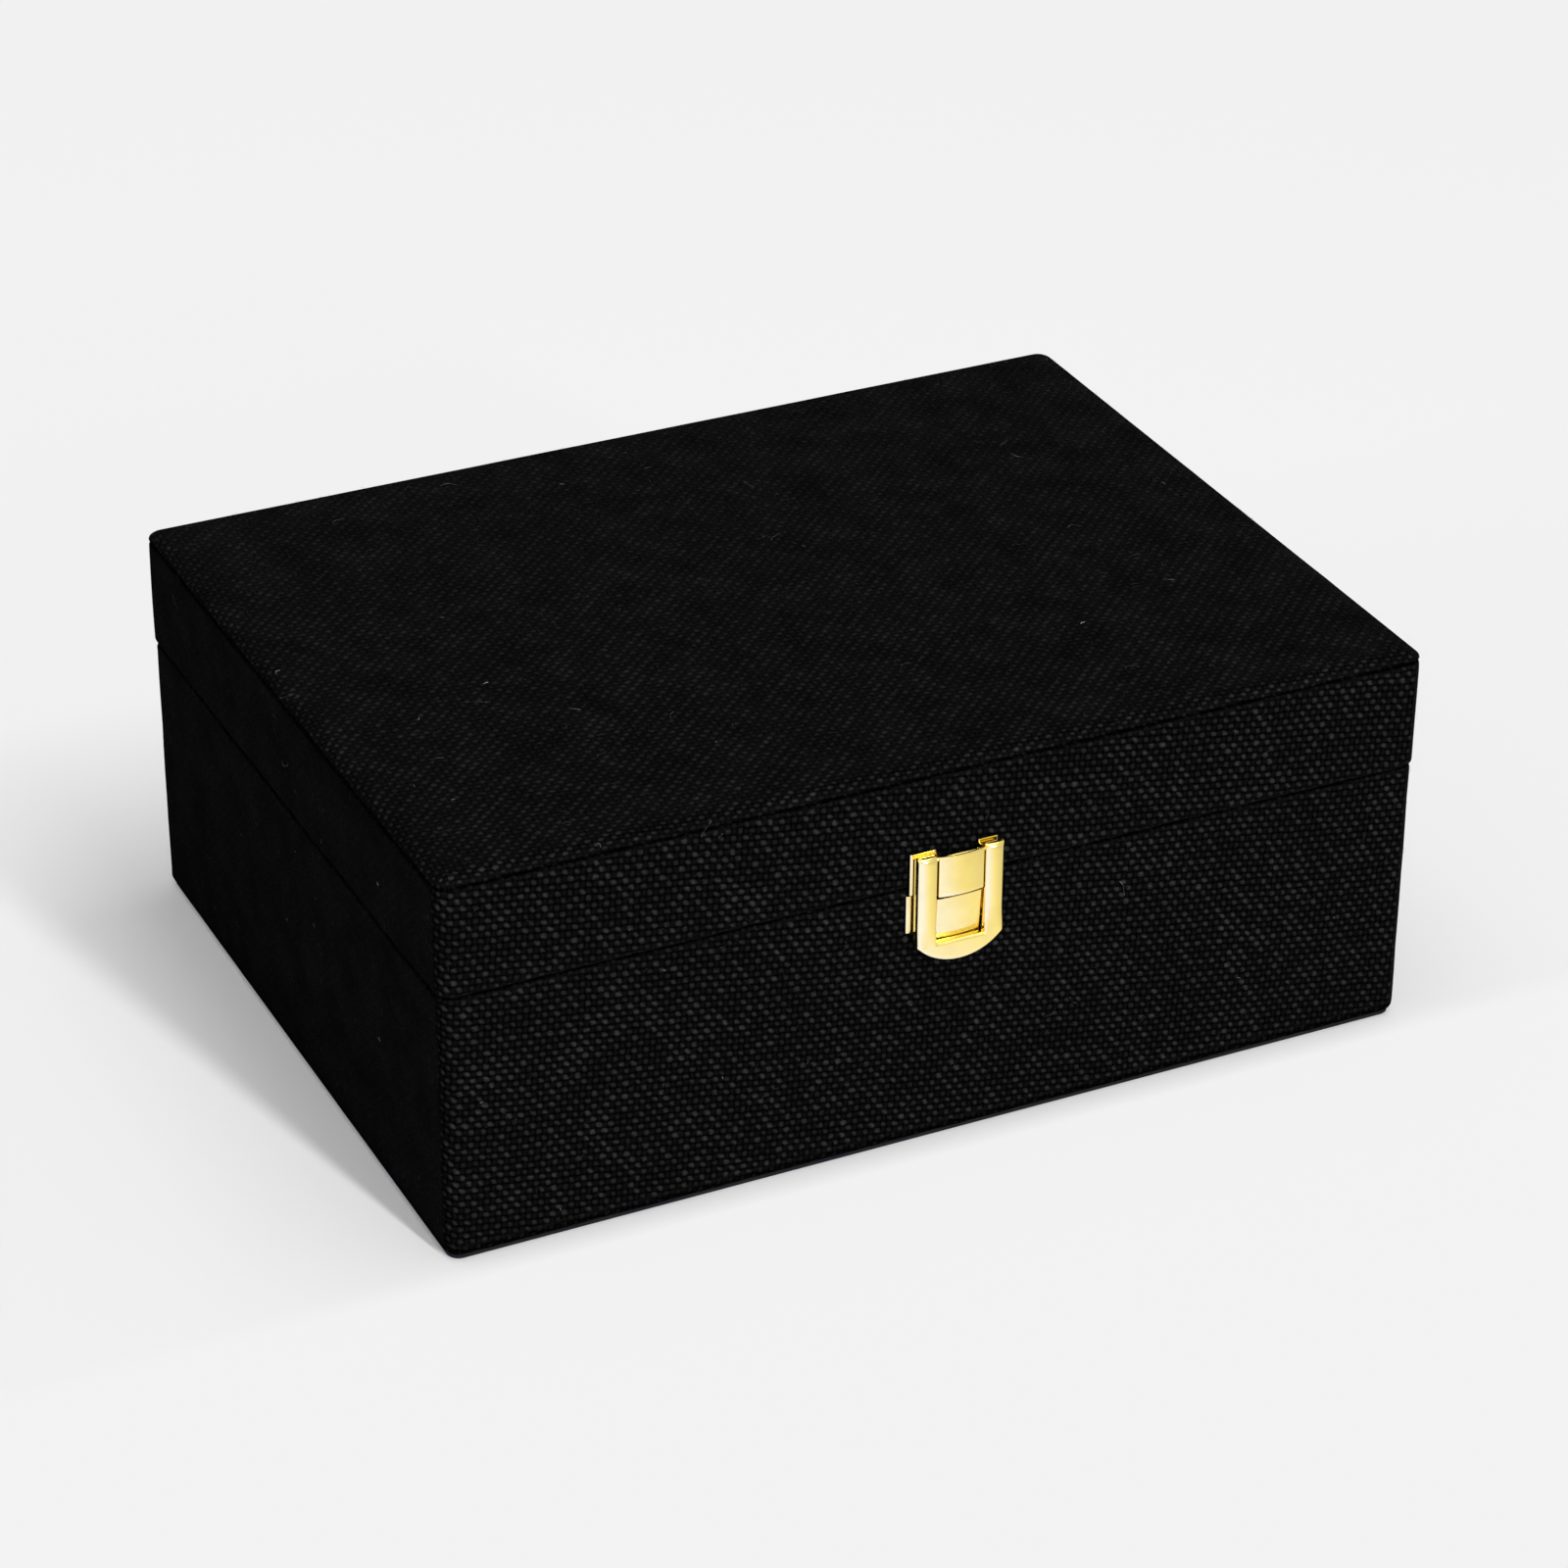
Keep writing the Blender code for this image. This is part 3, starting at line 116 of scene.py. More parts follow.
class Graph:
    """Adds and joins nodes in a shader or geometry tree, laid out in rows."""

    ROW = 12
    WIDE = 200
    HIGH = 220

    def __init__(self, tree: Tree) -> None:
        """Starts on the tree that the nodes go into."""
        self.tree = tree
        self.added = 0

    def add(self, kind: str, **settings: Any) -> Node:
        """Adds a node.

        Args:
            kind: The node's type name.
            settings: Properties to set on it.

        Returns:
            The new node.
        """
        node = self.tree.nodes.new(kind)
        self.added += 1
        row, column = divmod(self.added, self.ROW)
        node.location = (column * self.WIDE, -row * self.HIGH)
        for name, value in settings.items():
            setattr(node, name, value)
        return node

    def node(self, kind: str, inputs: dict[Any, Any], output: str | int = 0, **settings: Any) -> Socket:
        """Adds a node, fills its inputs and gives one of its outputs.

        Args:
            kind: The node's type name.
            inputs: Sockets or plain values, by the input's name or place.
            output: The output's name or place.
            settings: Properties to set on it.

        Returns:
            The output.
        """
        made = self.add(kind, **settings)
        for label, value in inputs.items():
            self.feed(made.inputs[label], value)
        return made.outputs[output]

    def feed(self, socket: Socket, value: Any) -> None:
        """Joins a socket to another one, or sets its value.

        Args:
            socket: The input to fill.
            value: An output socket or a plain value.
        """
        if isinstance(value, Socket):
            self.tree.links.new(value, socket)
        else:
            socket.default_value = value

    def math(self, operation: str, *values: Operand, clamp: bool = False) -> Socket:
        """Works out a Math node's operation on one to three values, kept between 0 and 1 by clamp."""
        inputs = dict(enumerate(values))
        return self.node("ShaderNodeMath", inputs, operation=operation, use_clamp=clamp)

    def product(self, *values: Operand) -> Socket:
        """Multiplies values, from the first one on.

        Args:
            values: Sockets or numbers.

        Returns:
            The product.
        """
        total = values[0]
        for value in values[1:]:
            total = self.math("MULTIPLY", total, value)
        return total

    def wave(self, vector: Socket, scale: float, share: Operand) -> Socket:
        """Gives slow noise about zero, of a scale and a strength."""
        return self.product(self.math("SUBTRACT", self.noise(vector, scale, 1), 0.5), share)

    def vector_math(self, operation: str, *values: Any) -> Socket:
        """Works out a sum, product or function of vectors.

        Args:
            operation: The Vector Math node's operation.
            values: Sockets or triples.

        Returns:
            The result.
        """
        node = self.add("ShaderNodeVectorMath", operation=operation)
        sockets = [node.inputs["Scale"]] if operation == "SCALE" else list(node.inputs[1:])
        for socket, value in zip([node.inputs[0], *sockets], values):
            self.feed(socket, value)
        return node.outputs["Value" if operation in {"LENGTH", "DISTANCE", "DOT_PRODUCT"} else "Vector"]

    def split(self, vector: Socket) -> list[Socket]:
        """Splits a vector into its three parts.

        Args:
            vector: The vector.

        Returns:
            Its X, Y and Z.
        """
        node = self.add("ShaderNodeSeparateXYZ")
        self.feed(node.inputs[0], vector)
        return list(node.outputs)

    def join(self, x: Operand, y: Operand, z: Operand) -> Socket:
        """Joins three values into a vector."""
        return self.node("ShaderNodeCombineXYZ", {0: x, 1: y, 2: z})

    def noise(self, vector: Socket, scale: Operand, detail: float = 2, roughness: float = 0.5) -> Socket:
        """Samples smooth noise round 0.5: waves in a metre, how many finer layers and how strong."""
        inputs = {"Vector": vector, "Scale": scale, "Detail": detail, "Roughness": roughness}
        return self.node("ShaderNodeTexNoise", inputs, "Fac", noise_dimensions="3D")

    def spread(
        self, value: Operand, low: Operand, high: Operand, to_low: Operand = 0, to_high: Operand = 1
    ) -> Socket:
        """Maps the range from low to high onto another one and keeps the result inside it."""
        inputs = dict(enumerate((value, low, high, to_low, to_high)))
        return self.node("ShaderNodeMapRange", inputs, clamp=True)

    def blend(self, share: Operand, first: Any, second: Any) -> Socket:
        """Mixes two colours.

        Args:
            share: How much of the second one shows.
            first: The colour at 0.
            second: The colour at 1.

        Returns:
            The mixed colour.
        """
        first, second = (
            color if isinstance(color, Socket) else (*color, 1.0) for color in (first, second)
        )
        return self.node("ShaderNodeMix", {0: share, 6: first, 7: second}, 2, data_type="RGBA")

    def bump(self, height: Socket, distance: float, strength: float = 1.0) -> Socket:
        """Turns a height from 0 to 1 into a shading normal; 1 stands out by a distance in metres."""
        inputs = {"Height": height, "Distance": distance, "Strength": strength}
        return self.node("ShaderNodeBump", inputs, "Normal")


def new_group(
    name: str, kind: str, inputs: dict[str, Any], outputs: Sequence[str], output: str = FLOAT
) -> tuple[Graph, dict[str, Socket], Node]:
    """Starts a node group with named inputs and outputs.

    Args:
        name: The group's name.
        kind: ShaderNodeTree or GeometryNodeTree.
        inputs: Each input's socket type, or its number to start with.
        outputs: The outputs' names.
        output: The outputs' socket type.

    Returns:
        The graph inside, its input sockets by name, and its output node.
    """
    tree = bpy.data.node_groups.new(name, kind)
    for label, value in inputs.items():
        socket_type = value if isinstance(value, str) else NUMBERS[type(value)]
        made = tree.interface.new_socket(name=label, in_out="INPUT", socket_type=socket_type)
        if value != socket_type:
            made.default_value = value
    for label in outputs:
        tree.interface.new_socket(name=label, in_out="OUTPUT", socket_type=output)
    graph = Graph(tree)
    entry = graph.add("NodeGroupInput")
    leave = graph.add("NodeGroupOutput")
    return graph, {label: entry.outputs[label] for label in inputs}, leave


def end_group(g: Graph, leave: Node, values: dict[str, Socket]) -> Tree:
    """Ends a node group.

    Args:
        g: The group's graph.
        leave: Its output node.
        values: Its outputs by name.

    Returns:
        The group.
    """
    for label, value in values.items():
        g.feed(leave.inputs[label], value)
    return g.tree


def weave_lattice(g: Graph, given: dict[str, Socket]) -> tuple[Socket, Socket]:
    """Counts the yarns: every whole number is the edge of one, and slow drift and fine jitter bend them.

    Args:
        g: The weave group's graph.
        given: The group's inputs.

    Returns:
        The warp's and the weft's count.
    """
    position = given["Position"]
    moved = g.vector_math("ADD", position, (0.31, 0.17, 0.4))
    x, y, _ = g.split(position)
    jitter = g.wave(position, 420, 0.45)
    counts = []
    for yarn, along, across, drift in (
        ("Warp", x, y, g.wave(position, 28, given["Wander"])),
        ("Weft", y, x, g.wave(moved, 34, given["Wander"])),
    ):
        leaned = g.math("MULTIPLY_ADD", across, given[f"{yarn} Lean"], along)
        count = g.math("DIVIDE", leaned, given[f"{yarn} Pitch"])
        counts.append(g.math("ADD", g.math("ADD", count, drift), jitter))
    return counts[0], counts[1]


def weave_spots(g: Graph, warp: Socket, weft: Socket, slant: Socket) -> tuple[Socket, Socket]:
    """Shapes the spot where each weft yarn comes up, which gets a painted glint, and draws a tone for it.

    The spots stand in diamond cells. Up and down run along a cell's diagonals, from its middle.

    Args:
        g: The weave group's graph.
        warp: The warp's count.
        weft: The weft's count.
        slant: How far the spots are drawn out into slanting streaks, from 0 to 1.

    Returns:
        The spots and their tones.
    """
    slant_up = g.math("ADD", warp, weft)
    slant_down = g.math("SUBTRACT", g.math("SUBTRACT", warp, weft), 1.0)
    row, column = (g.math("ROUND", g.product(value, 0.5)) for value in (slant_up, slant_down))
    up = g.math("MULTIPLY_ADD", row, -2.0, slant_up)
    down = g.math("MULTIPLY_ADD", column, -2.0, slant_down)
    cell = g.join(row, column, 0.0)
    tone = g.node("ShaderNodeTexWhiteNoise", {"Vector": cell}, "Value", noise_dimensions="2D")
    steep_up = g.math("MULTIPLY_ADD", slant, -3.0, 3.53)
    steep_down = g.math("MULTIPLY_ADD", slant, 1.6, 1.85)
    skew = g.math("MULTIPLY_ADD", slant, -1.90, 1.90)
    narrow = g.spread(tone, 0, 1, -2.0, -1.1)
    fall = g.product(g.product(up, up), steep_up)
    fall = g.math("ADD", fall, g.product(g.product(down, down), steep_down))
    fall = g.math("SUBTRACT", fall, g.product(g.product(up, down), skew))
    fall = g.product(fall, narrow)
    return g.spread(g.math("EXPONENT", fall), 0.09, 0.95), tone


def weave_group() -> Tree:
    """Builds, once, the shader group for a plain weave of coarse fuzzy yarns.

    Returns:
        The group. Height is the cloth's relief, Crown the lit spots where the weft comes up, Tone a value
        for each of them, Fibre the streaks of single fibres, Fuzz the short hairs, and Patch slow wear.
    """
    found = bpy.data.node_groups.get("plain weave")
    if found:
        return found
    inputs = {
        "Position": VECTOR,
        "Warp Pitch": 1.5625 * MM,
        "Weft Pitch": 1.80 * MM,
        "Warp Lean": 0.0,
        "Weft Lean": 0.0,
        "Wander": 0.6,
        "Slant": 0.0,
    }
    outputs = ("Height", "Crown", "Tone", "Fibre", "Fuzz", "Patch")
    g, given, leave = new_group("plain weave", "ShaderNodeTree", inputs, outputs)
    roundness, warp_depth, fibre_relief = 0.6, 0.72, 0.55
    position = given["Position"]
    warp, weft = weave_lattice(g, given)
    warp_cell = g.math("FLOOR", warp)
    weft_cell = g.math("FLOOR", weft)
    round_warp, round_weft = (
        g.math("COSINE", g.product(g.math("SUBTRACT", g.math("SUBTRACT", value, cell), 0.5), math.pi))
        for value, cell in ((warp, warp_cell), (weft, weft_cell))
    )
    over = g.math("FLOORED_MODULO", g.math("ADD", warp_cell, weft_cell), 2.0)
    under = g.math("SUBTRACT", 1.0, over)
    warp_rise = g.math("MULTIPLY_ADD", round_weft, 0.5, 0.35)
    weft_rise = g.math("MULTIPLY_ADD", round_warp, 0.6, 0.40)
    warp_top = g.product(g.math("POWER", round_warp, roundness), warp_rise)
    weft_top = g.product(g.math("POWER", round_weft, roundness), weft_rise)
    height = g.math("ADD", g.product(warp_top, g.product(under, warp_depth)), g.product(weft_top, over))
    crown, tone = weave_spots(g, warp, weft, given["Slant"])
    warp_fibre, weft_fibre = (
        g.noise(g.vector_math("MULTIPLY", position, stretch), 2900, 2, 0.75)
        for stretch in ((1.0, 0.35, 1.0), (0.35, 1.0, 1.0))
    )
    fibre = g.math("ADD", g.product(under, warp_fibre), g.product(over, weft_fibre))
    fuzz_place = g.vector_math("MULTIPLY", position, (0.5, 1.0, 1.0))
    values = {
        "Height": g.math("ADD", height, g.product(g.math("SUBTRACT", fibre, 0.5), fibre_relief)),
        "Crown": crown,
        "Tone": tone,
        "Fibre": fibre,
        "Fuzz": g.noise(fuzz_place, 2300, 3, 0.75),
        "Patch": g.noise(position, 75, 3, 0.6),
    }
    return end_group(g, leave, values)


def pile_group() -> Tree:
    """Builds, once, the shader group for a short brushed pile.

    Returns:
        The group. Height is the pile's relief, Lay the broad patches where it leans another way.
    """
    found = bpy.data.node_groups.get("brushed pile")
    if found:
        return found
    inputs = {"Position": VECTOR, "Grain": 3800.0, "Sweep": 45.0}
    g, given, leave = new_group("brushed pile", "ShaderNodeTree", inputs, ("Height", "Lay"))
    fine = g.noise(given["Position"], given["Grain"], 2, 0.6)
    stretched = g.vector_math("MULTIPLY", given["Position"], (1.0, 0.35, 1.0))
    sweep = g.noise(stretched, given["Sweep"], 3, 0.55)
    return end_group(g, leave, {"Height": fine, "Lay": g.spread(sweep, 0.35, 0.65)})


def handling_group() -> Tree:
    """Builds, once, the shader group for the traces of handling on polished metal.

    Returns:
        The group. Smear is soft and broad, Scratch is fine and sparse, Ripple is the plating's slow relief.
    """
    found = bpy.data.node_groups.get("handling marks")
    if found:
        return found
    inputs = {"Position": VECTOR, "Smear Size": 160.0}
    outputs = ("Smear", "Scratch", "Ripple")
    g, given, leave = new_group("handling marks", "ShaderNodeTree", inputs, outputs)
    smear = g.spread(g.noise(given["Position"], given["Smear Size"], 4, 0.6), 0.42, 0.68)
    turned = g.vector_math("MULTIPLY", given["Position"], (1.0, 1.0, 0.06))
    scratch = g.spread(g.noise(turned, 9000, 1, 0.5), 0.70, 0.78)
    ripple = g.noise(given["Position"], 420, 1, 0.4)
    return end_group(g, leave, {"Smear": smear, "Scratch": scratch, "Ripple": ripple})


def start_material(name: str, shown: Sequence[float]) -> tuple[Graph, Node]:
    """Starts a material on its Principled shader.

    Args:
        name: The material's name.
        shown: The colour shown in a plain viewport.

    Returns:
        The graph and the shader.
    """
    material = bpy.data.materials.new(name)
    material.use_nodes = True
    material.diffuse_color = (*shown, 1.0)
    return Graph(material.node_tree), material.node_tree.nodes["Principled BSDF"]


def object_position(g: Graph) -> Socket:
    """Gives the place on the piece, in metres in the box's frame."""
    return g.add("ShaderNodeTexCoord").outputs["Object"]


def place_group(g: Graph, tree: Tree, **values: Any) -> Node:
    """Places a node group in a material.

    Args:
        g: The material's graph.
        tree: The group.
        values: Values or sockets for its inputs, with underscores for spaces.

    Returns:
        The group's node.
    """
    node = g.add("ShaderNodeGroup", node_tree=tree)
    for name, value in values.items():
        g.feed(node.inputs[name.replace("_", " ")], value)
    return node


@dataclass(frozen=True)
class WovenCloth:
    """Coarse black plain-woven cloth, read from the piece's own weave coordinates in metres."""

    name: str = "black woven cloth"
    ground: Point = (0.0005, 0.0005, 0.0005)
    yarn: Point = (0.0064, 0.0064, 0.0065)
    # The crowns' pale colour is a painted glint of the light on the yarn tops.
    crown: Point = (0.034, 0.034, 0.0347)
    # The fuzz's own tones, set by its hairs; they show towards grazing view as painted sheen, and in seams.
    fuzz_low: Point = (0.0020, 0.0020, 0.0020)
    fuzz_high: Point = (0.0118, 0.0118, 0.0120)
    crown_fades: Pair = (0.25, 0.60)
    grazing_sheen_rise: Pair = (0.46, 0.65)
    glint_shade_share: float = 0.84
    warp_pitch: float = 1.555 * MM
    weft_pitch: float = 1.785 * MM
    warp_lean: float = -0.067
    weft_lean: float = 0.160
    wander: float = 0.8
    slant: float = 0.0
    relief: float = 0.34 * MM
    lit_height: Pair = (0.15, 0.95)
    tone_share: Pair = (0.85, 0.15)
    worn_patches: Four = (0.30, 0.70, 0.45, 1.15)
    fibre_streaks: Four = (0.32, 0.70, 0.05, 1.75)
    hair_reach: Pair = (0.36, 0.68)
    hair_patches: Four = (0.3, 0.7, 0.55, 1.25)
    seam_by_height: Four = (0.1, 1.0, 1.35, 0.65)
    seam_by_fuzz: Four = (0.3, 0.7, 1.3, 0.7)
    seam_veil: Pair = (0.0, 0.4)
    seam_veil_share: float = 0.5
    seam_glint_fade: Four = (0.0, 0.5, 1.0, 0.0)
    seam_painted_shade: Pair = (0.5, 1.0)

    def build(self) -> Material:
        """Makes the material.

        Returns:
            The material.
        """
        g, shader = start_material(self.name, self.yarn)
        weave = place_group(
            g,
            weave_group(),
            Position=g.node("ShaderNodeUVMap", {}, uv_map=WEAVE_UV),
            Warp_Pitch=self.warp_pitch,
            Weft_Pitch=self.weft_pitch,
            Warp_Lean=self.warp_lean,
            Weft_Lean=self.weft_lean,
            Wander=self.wander,
            Slant=self.slant,
        ).outputs
        # Low parts of the weave take the ground colour: painted shade between the yarns.
        body = g.blend(g.spread(weave["Height"], *self.lit_height), self.ground, self.yarn)
        lively = g.math("MULTIPLY_ADD", weave["Tone"], *self.tone_share)
        patchy = g.spread(weave["Patch"], *self.worn_patches)
        streak = g.spread(weave["Fibre"], *self.fibre_streaks)
        # Painted glint on the crowns; towards grazing view most of it goes, as painted shade for the faces
        # that the light misses.
        share = g.product(g.product(weave["Crown"], lively), g.product(patchy, streak))
        facing = g.node("ShaderNodeLayerWeight", {"Blend": 0.5}, "Facing")
        glint_shade = g.spread(facing, *self.crown_fades, 0.0, self.glint_shade_share)
        share = g.math("MULTIPLY", share, g.math("SUBTRACT", 1.0, glint_shade), clamp=True)
        # Painted shade in seams, folds and turned-in edges: the glints go, the fuzz's colour shows more, and
        # the deepest parts take the ground colour.
        seam_shade_read = g.node("ShaderNodeAttribute", {}, "Fac", attribute_name=PAINTED_SHADE)
        crease = g.product(seam_shade_read, g.spread(weave["Height"], *self.seam_by_height))
        crease = g.product(crease, g.spread(weave["Fuzz"], *self.seam_by_fuzz))
        seam_veil = g.product(g.spread(crease, *self.seam_veil), self.seam_veil_share)
        # Towards grazing view the cloth takes the fuzz's colour: painted sheen over the fuzz's own tone; in
        # seams up to half of it shows.
        grazing_sheen = g.math("MAXIMUM", g.spread(facing, *self.grazing_sheen_rise), seam_veil)
        hairs = g.spread(weave["Fuzz"], *self.hair_reach)
        hairs = g.product(hairs, g.spread(weave["Patch"], *self.hair_patches))
        body = g.blend(grazing_sheen, body, g.blend(hairs, self.fuzz_low, self.fuzz_high))
        glinting = g.blend(g.product(share, g.spread(crease, *self.seam_glint_fade)), body, self.crown)
        g.feed(shader.inputs["Base Color"], g.blend(g.spread(crease, *self.seam_painted_shade), glinting, self.ground))
        shader.inputs["Roughness"].default_value = 1.0
        shader.inputs["Specular IOR Level"].default_value = 0.0
        g.feed(shader.inputs["Normal"], g.bump(weave["Height"], self.relief))
        return bpy.data.materials[self.name]


@dataclass(frozen=True)
class Pile:
    """Short pile: velvet, or felt when the grain is coarser and the sheen lower."""

    name: str = "black velvet"
    low: Point = (0.0045, 0.0045, 0.0048)
    high: Point = (0.013, 0.013, 0.014)
    grain: float = 3800.0
    sweep: float = 45.0
    relief: float = 0.10 * MM
    sheen: float = 0.12

    def build(self) -> Material:
        """Makes the material.

        Returns:
            The material.
        """
        g, shader = start_material(self.name, self.high)
        place = object_position(g)
        pile = place_group(g, pile_group(), Position=place, Grain=self.grain, Sweep=self.sweep).outputs
        share = g.math("MULTIPLY_ADD", pile["Lay"], 0.6, g.math("MULTIPLY", pile["Height"], 0.4))
        g.feed(shader.inputs["Base Color"], g.blend(share, self.low, self.high))
        g.feed(shader.inputs["Roughness"], g.spread(pile["Lay"], 0, 1, 0.80, 0.95))
        shader.inputs["Specular IOR Level"].default_value = 0.08
        shader.inputs["Sheen Weight"].default_value = self.sheen
        shader.inputs["Sheen Roughness"].default_value = 0.35
        g.feed(shader.inputs["Normal"], g.bump(pile["Height"], self.relief, 0.8))
        return bpy.data.materials[self.name]


@dataclass(frozen=True)
class Metal:
    """Polished or satin plated metal with traces of handling."""

    name: str
    color: Point
    dull: Point
    smooth: float
    rough: float
    ripple: float
    smear_size: float = 160.0

    def build(self) -> Material:
        """Makes the material.

        Returns:
            The material.
        """
        g, shader = start_material(self.name, self.color)
        place = object_position(g)
        marks = place_group(g, handling_group(), Position=place, Smear_Size=self.smear_size).outputs
        scratched = g.product(marks["Scratch"], 0.3)
        share = g.math("MULTIPLY_ADD", marks["Smear"], 0.6, scratched, clamp=True)
        g.feed(shader.inputs["Base Color"], g.blend(share, self.color, self.dull))
        g.feed(shader.inputs["Roughness"], g.spread(share, 0, 1, self.smooth, self.rough))
        shader.inputs["Metallic"].default_value = 1.0
        g.feed(shader.inputs["Normal"], g.bump(marks["Ripple"], self.ripple))
        return bpy.data.materials[self.name]


@dataclass(frozen=True)
class Fibreboard:
    """Bare fibreboard under the cloth."""

    name: str = "bare fibreboard"
    light: Point = (0.46, 0.34, 0.22)
    dark: Point = (0.30, 0.21, 0.13)

    def build(self) -> Material:
        """Makes the material.

        Returns:
            The material.
        """
        g, shader = start_material(self.name, self.light)
        position = object_position(g)
        speck = g.noise(position, 900, 4, 0.7)
        g.feed(shader.inputs["Base Color"], g.blend(g.spread(speck, 0.35, 0.65), self.dark, self.light))
        g.feed(shader.inputs["Roughness"], g.spread(speck, 0.2, 0.8, 0.75, 0.95))
        g.feed(shader.inputs["Normal"], g.bump(speck, 0.05 * MM))
        return bpy.data.materials[self.name]


@dataclass(frozen=True)
class LooseThread:
    """Loose fibres and lint: one tone that varies from strand to strand by place."""

    name: str
    low: Point
    high: Point

    def build(self) -> Material:
        """Makes the material.

        Returns:
            The material.
        """
        g, shader = start_material(self.name, self.high)
        position = object_position(g)
        tone = g.spread(g.noise(position, 700, 1), 0.38, 0.62)
        g.feed(shader.inputs["Base Color"], g.blend(tone, self.low, self.high))
        g.feed(shader.inputs["Roughness"], g.spread(tone, 0, 1, 0.75, 0.95))
        shader.inputs["Specular IOR Level"].default_value = 0.1
        return bpy.data.materials[self.name]


@dataclass
class Looks:
    """Every material of the box, made once."""

    cloth: Material = field(default_factory=WovenCloth().build)
    # The top's cloth gets brighter crowns and an earlier sheen: a stronger painted glint and sheen where the
    # top faces the light.
    top_cloth: Material = field(
        default_factory=WovenCloth(
            name="black woven cloth on the padded top",
            crown=(0.048, 0.048, 0.049),
            grazing_sheen_rise=(0.36, 0.62),
            fuzz_low=(0.0007, 0.0007, 0.0007),
            fuzz_high=(0.0125, 0.0125, 0.0127),
            slant=0.65,
            relief=0.24 * MM,
        ).build
    )
    velvet: Material = field(default_factory=Pile().build)
    felt: Material = field(
        default_factory=Pile(
            name="black felt",
            low=(0.006, 0.006, 0.006),
            high=(0.016, 0.016, 0.016),
            grain=2200.0,
            sweep=160.0,
            relief=0.14 * MM,
            sheen=0.03,
        ).build
    )
    board: Material = field(default_factory=Fibreboard().build)
    gold: Material = field(
        default_factory=Metal(
            name="bright gilt plating",
            color=(0.99, 0.785, 0.245),
            dull=(0.94, 0.71, 0.20),
            smooth=0.13,
            rough=0.26,
            ripple=0.003 * MM,
        ).build
    )
    brass: Material = field(
        default_factory=Metal(
            name="satin brass",
            color=(0.86, 0.66, 0.30),
            dull=(0.70, 0.50, 0.21),
            smooth=0.22,
            rough=0.42,
            ripple=0.010 * MM,
            smear_size=320.0,
        ).build
    )
    fibre: Material = field(
        default_factory=LooseThread("loose black fibres", (0.010, 0.010, 0.010), (0.060, 0.060, 0.062)).build
    )
    hair: Material = field(
        default_factory=LooseThread("grey hairs", (0.015, 0.015, 0.015), (0.13, 0.13, 0.13)).build
    )
    lint: Material = field(
        default_factory=LooseThread("pale lint", (0.05, 0.05, 0.05), (0.40, 0.39, 0.38)).build
    )


def settle(piece: Piece, body: Body, nodes: Sequence[str] = ()) -> Piece:
    """Makes a finished piece ride on its body and stand for its nodes.

    Args:
        piece: The finished piece, in place.
        body: The body that it moves with.
        nodes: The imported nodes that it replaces.

    Returns:
        The piece.
    """
    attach(piece, body.value)
    if nodes:
        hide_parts(*nodes)
    LOG.info("%s: %d faces, on the %s", piece.name, len(piece.data.polygons), body.value)
    return piece


def link_mesh(name: str, mesh: Mesh, material: Material | None = None, sharp: float = 40.0) -> Piece:
    """Makes an object of a mesh and shades it smooth up to an angle.

    Args:
        name: The object's name.
        mesh: Its mesh.
        material: The material of all its faces.
        sharp: The angle in degrees from which an edge stays sharp.

    Returns:
        The object.
    """
    mesh.name = name
    made = bpy.data.objects.new(name, mesh)
    bpy.context.scene.collection.objects.link(made)
    if material:
        mesh.materials.clear()
        mesh.materials.append(material)
    mesh.shade_smooth()
    mesh.set_sharp_from_angle(angle=math.radians(sharp))
    return made


def from_bmesh(name: str, shape: Shape, material: Material | None = None, sharp: float = 40.0) -> Piece:
    """Makes an object of a bmesh, with its faces turned outwards.

    Args:
        name: The object's name.
        shape: The bmesh, which is used up.
        material: The material of all its faces.
        sharp: The angle in degrees from which an edge stays sharp.

    Returns:
        The object.
    """
    bmesh.ops.recalc_face_normals(shape, faces=shape.faces)
    mesh = bpy.data.meshes.new(name)
    shape.to_mesh(mesh)
    shape.free()
    return link_mesh(name, mesh, material, sharp)


def skin(shape: Shape, loops: Sequence[Sequence[Sequence[float]]]) -> None:
    """Skins a row of equal closed loops and closes both ends.

    Args:
        shape: The bmesh to add to.
        loops: The loops of points.
    """
    rings = [[shape.verts.new(point) for point in loop] for loop in loops]
    for low, high in zip(rings, rings[1:]):
        for i in range(len(low)):
            j = (i + 1) % len(low)
            shape.faces.new((low[i], low[j], high[j], high[i]))
    shape.faces.new(rings[0])
    shape.faces.new(rings[-1])


def box_mesh(name: str, low: Sequence[float], high: Sequence[float]) -> Piece:
    """Makes a plain box, used as a cutter.

    Args:
        name: The object's name.
        low: Its lowest corner.
        high: Its highest corner.

    Returns:
        The box.
    """
    shape = bmesh.new()
    plan = [(low[0], low[1]), (high[0], low[1]), (high[0], high[1]), (low[0], high[1])]
    skin(shape, [[(x, y, z) for x, y in plan] for z in (low[2], high[2])])
    return from_bmesh(name, shape)


def cut_away(target: Piece, cutters: Sequence[Piece]) -> None:
    """Cuts pieces out of a mesh, keeps the plain result and removes the cutters.

    Args:
        target: The piece that is cut.
        cutters: The closed meshes to cut with.
    """
    for cutter in cutters:
        change = target.modifiers.new("cut", "BOOLEAN")
        change.operation = "DIFFERENCE"
        change.solver = "EXACT"
        change.object = cutter
    freeze(target)
    for cutter in cutters:
        bpy.data.objects.remove(cutter, do_unlink=True)


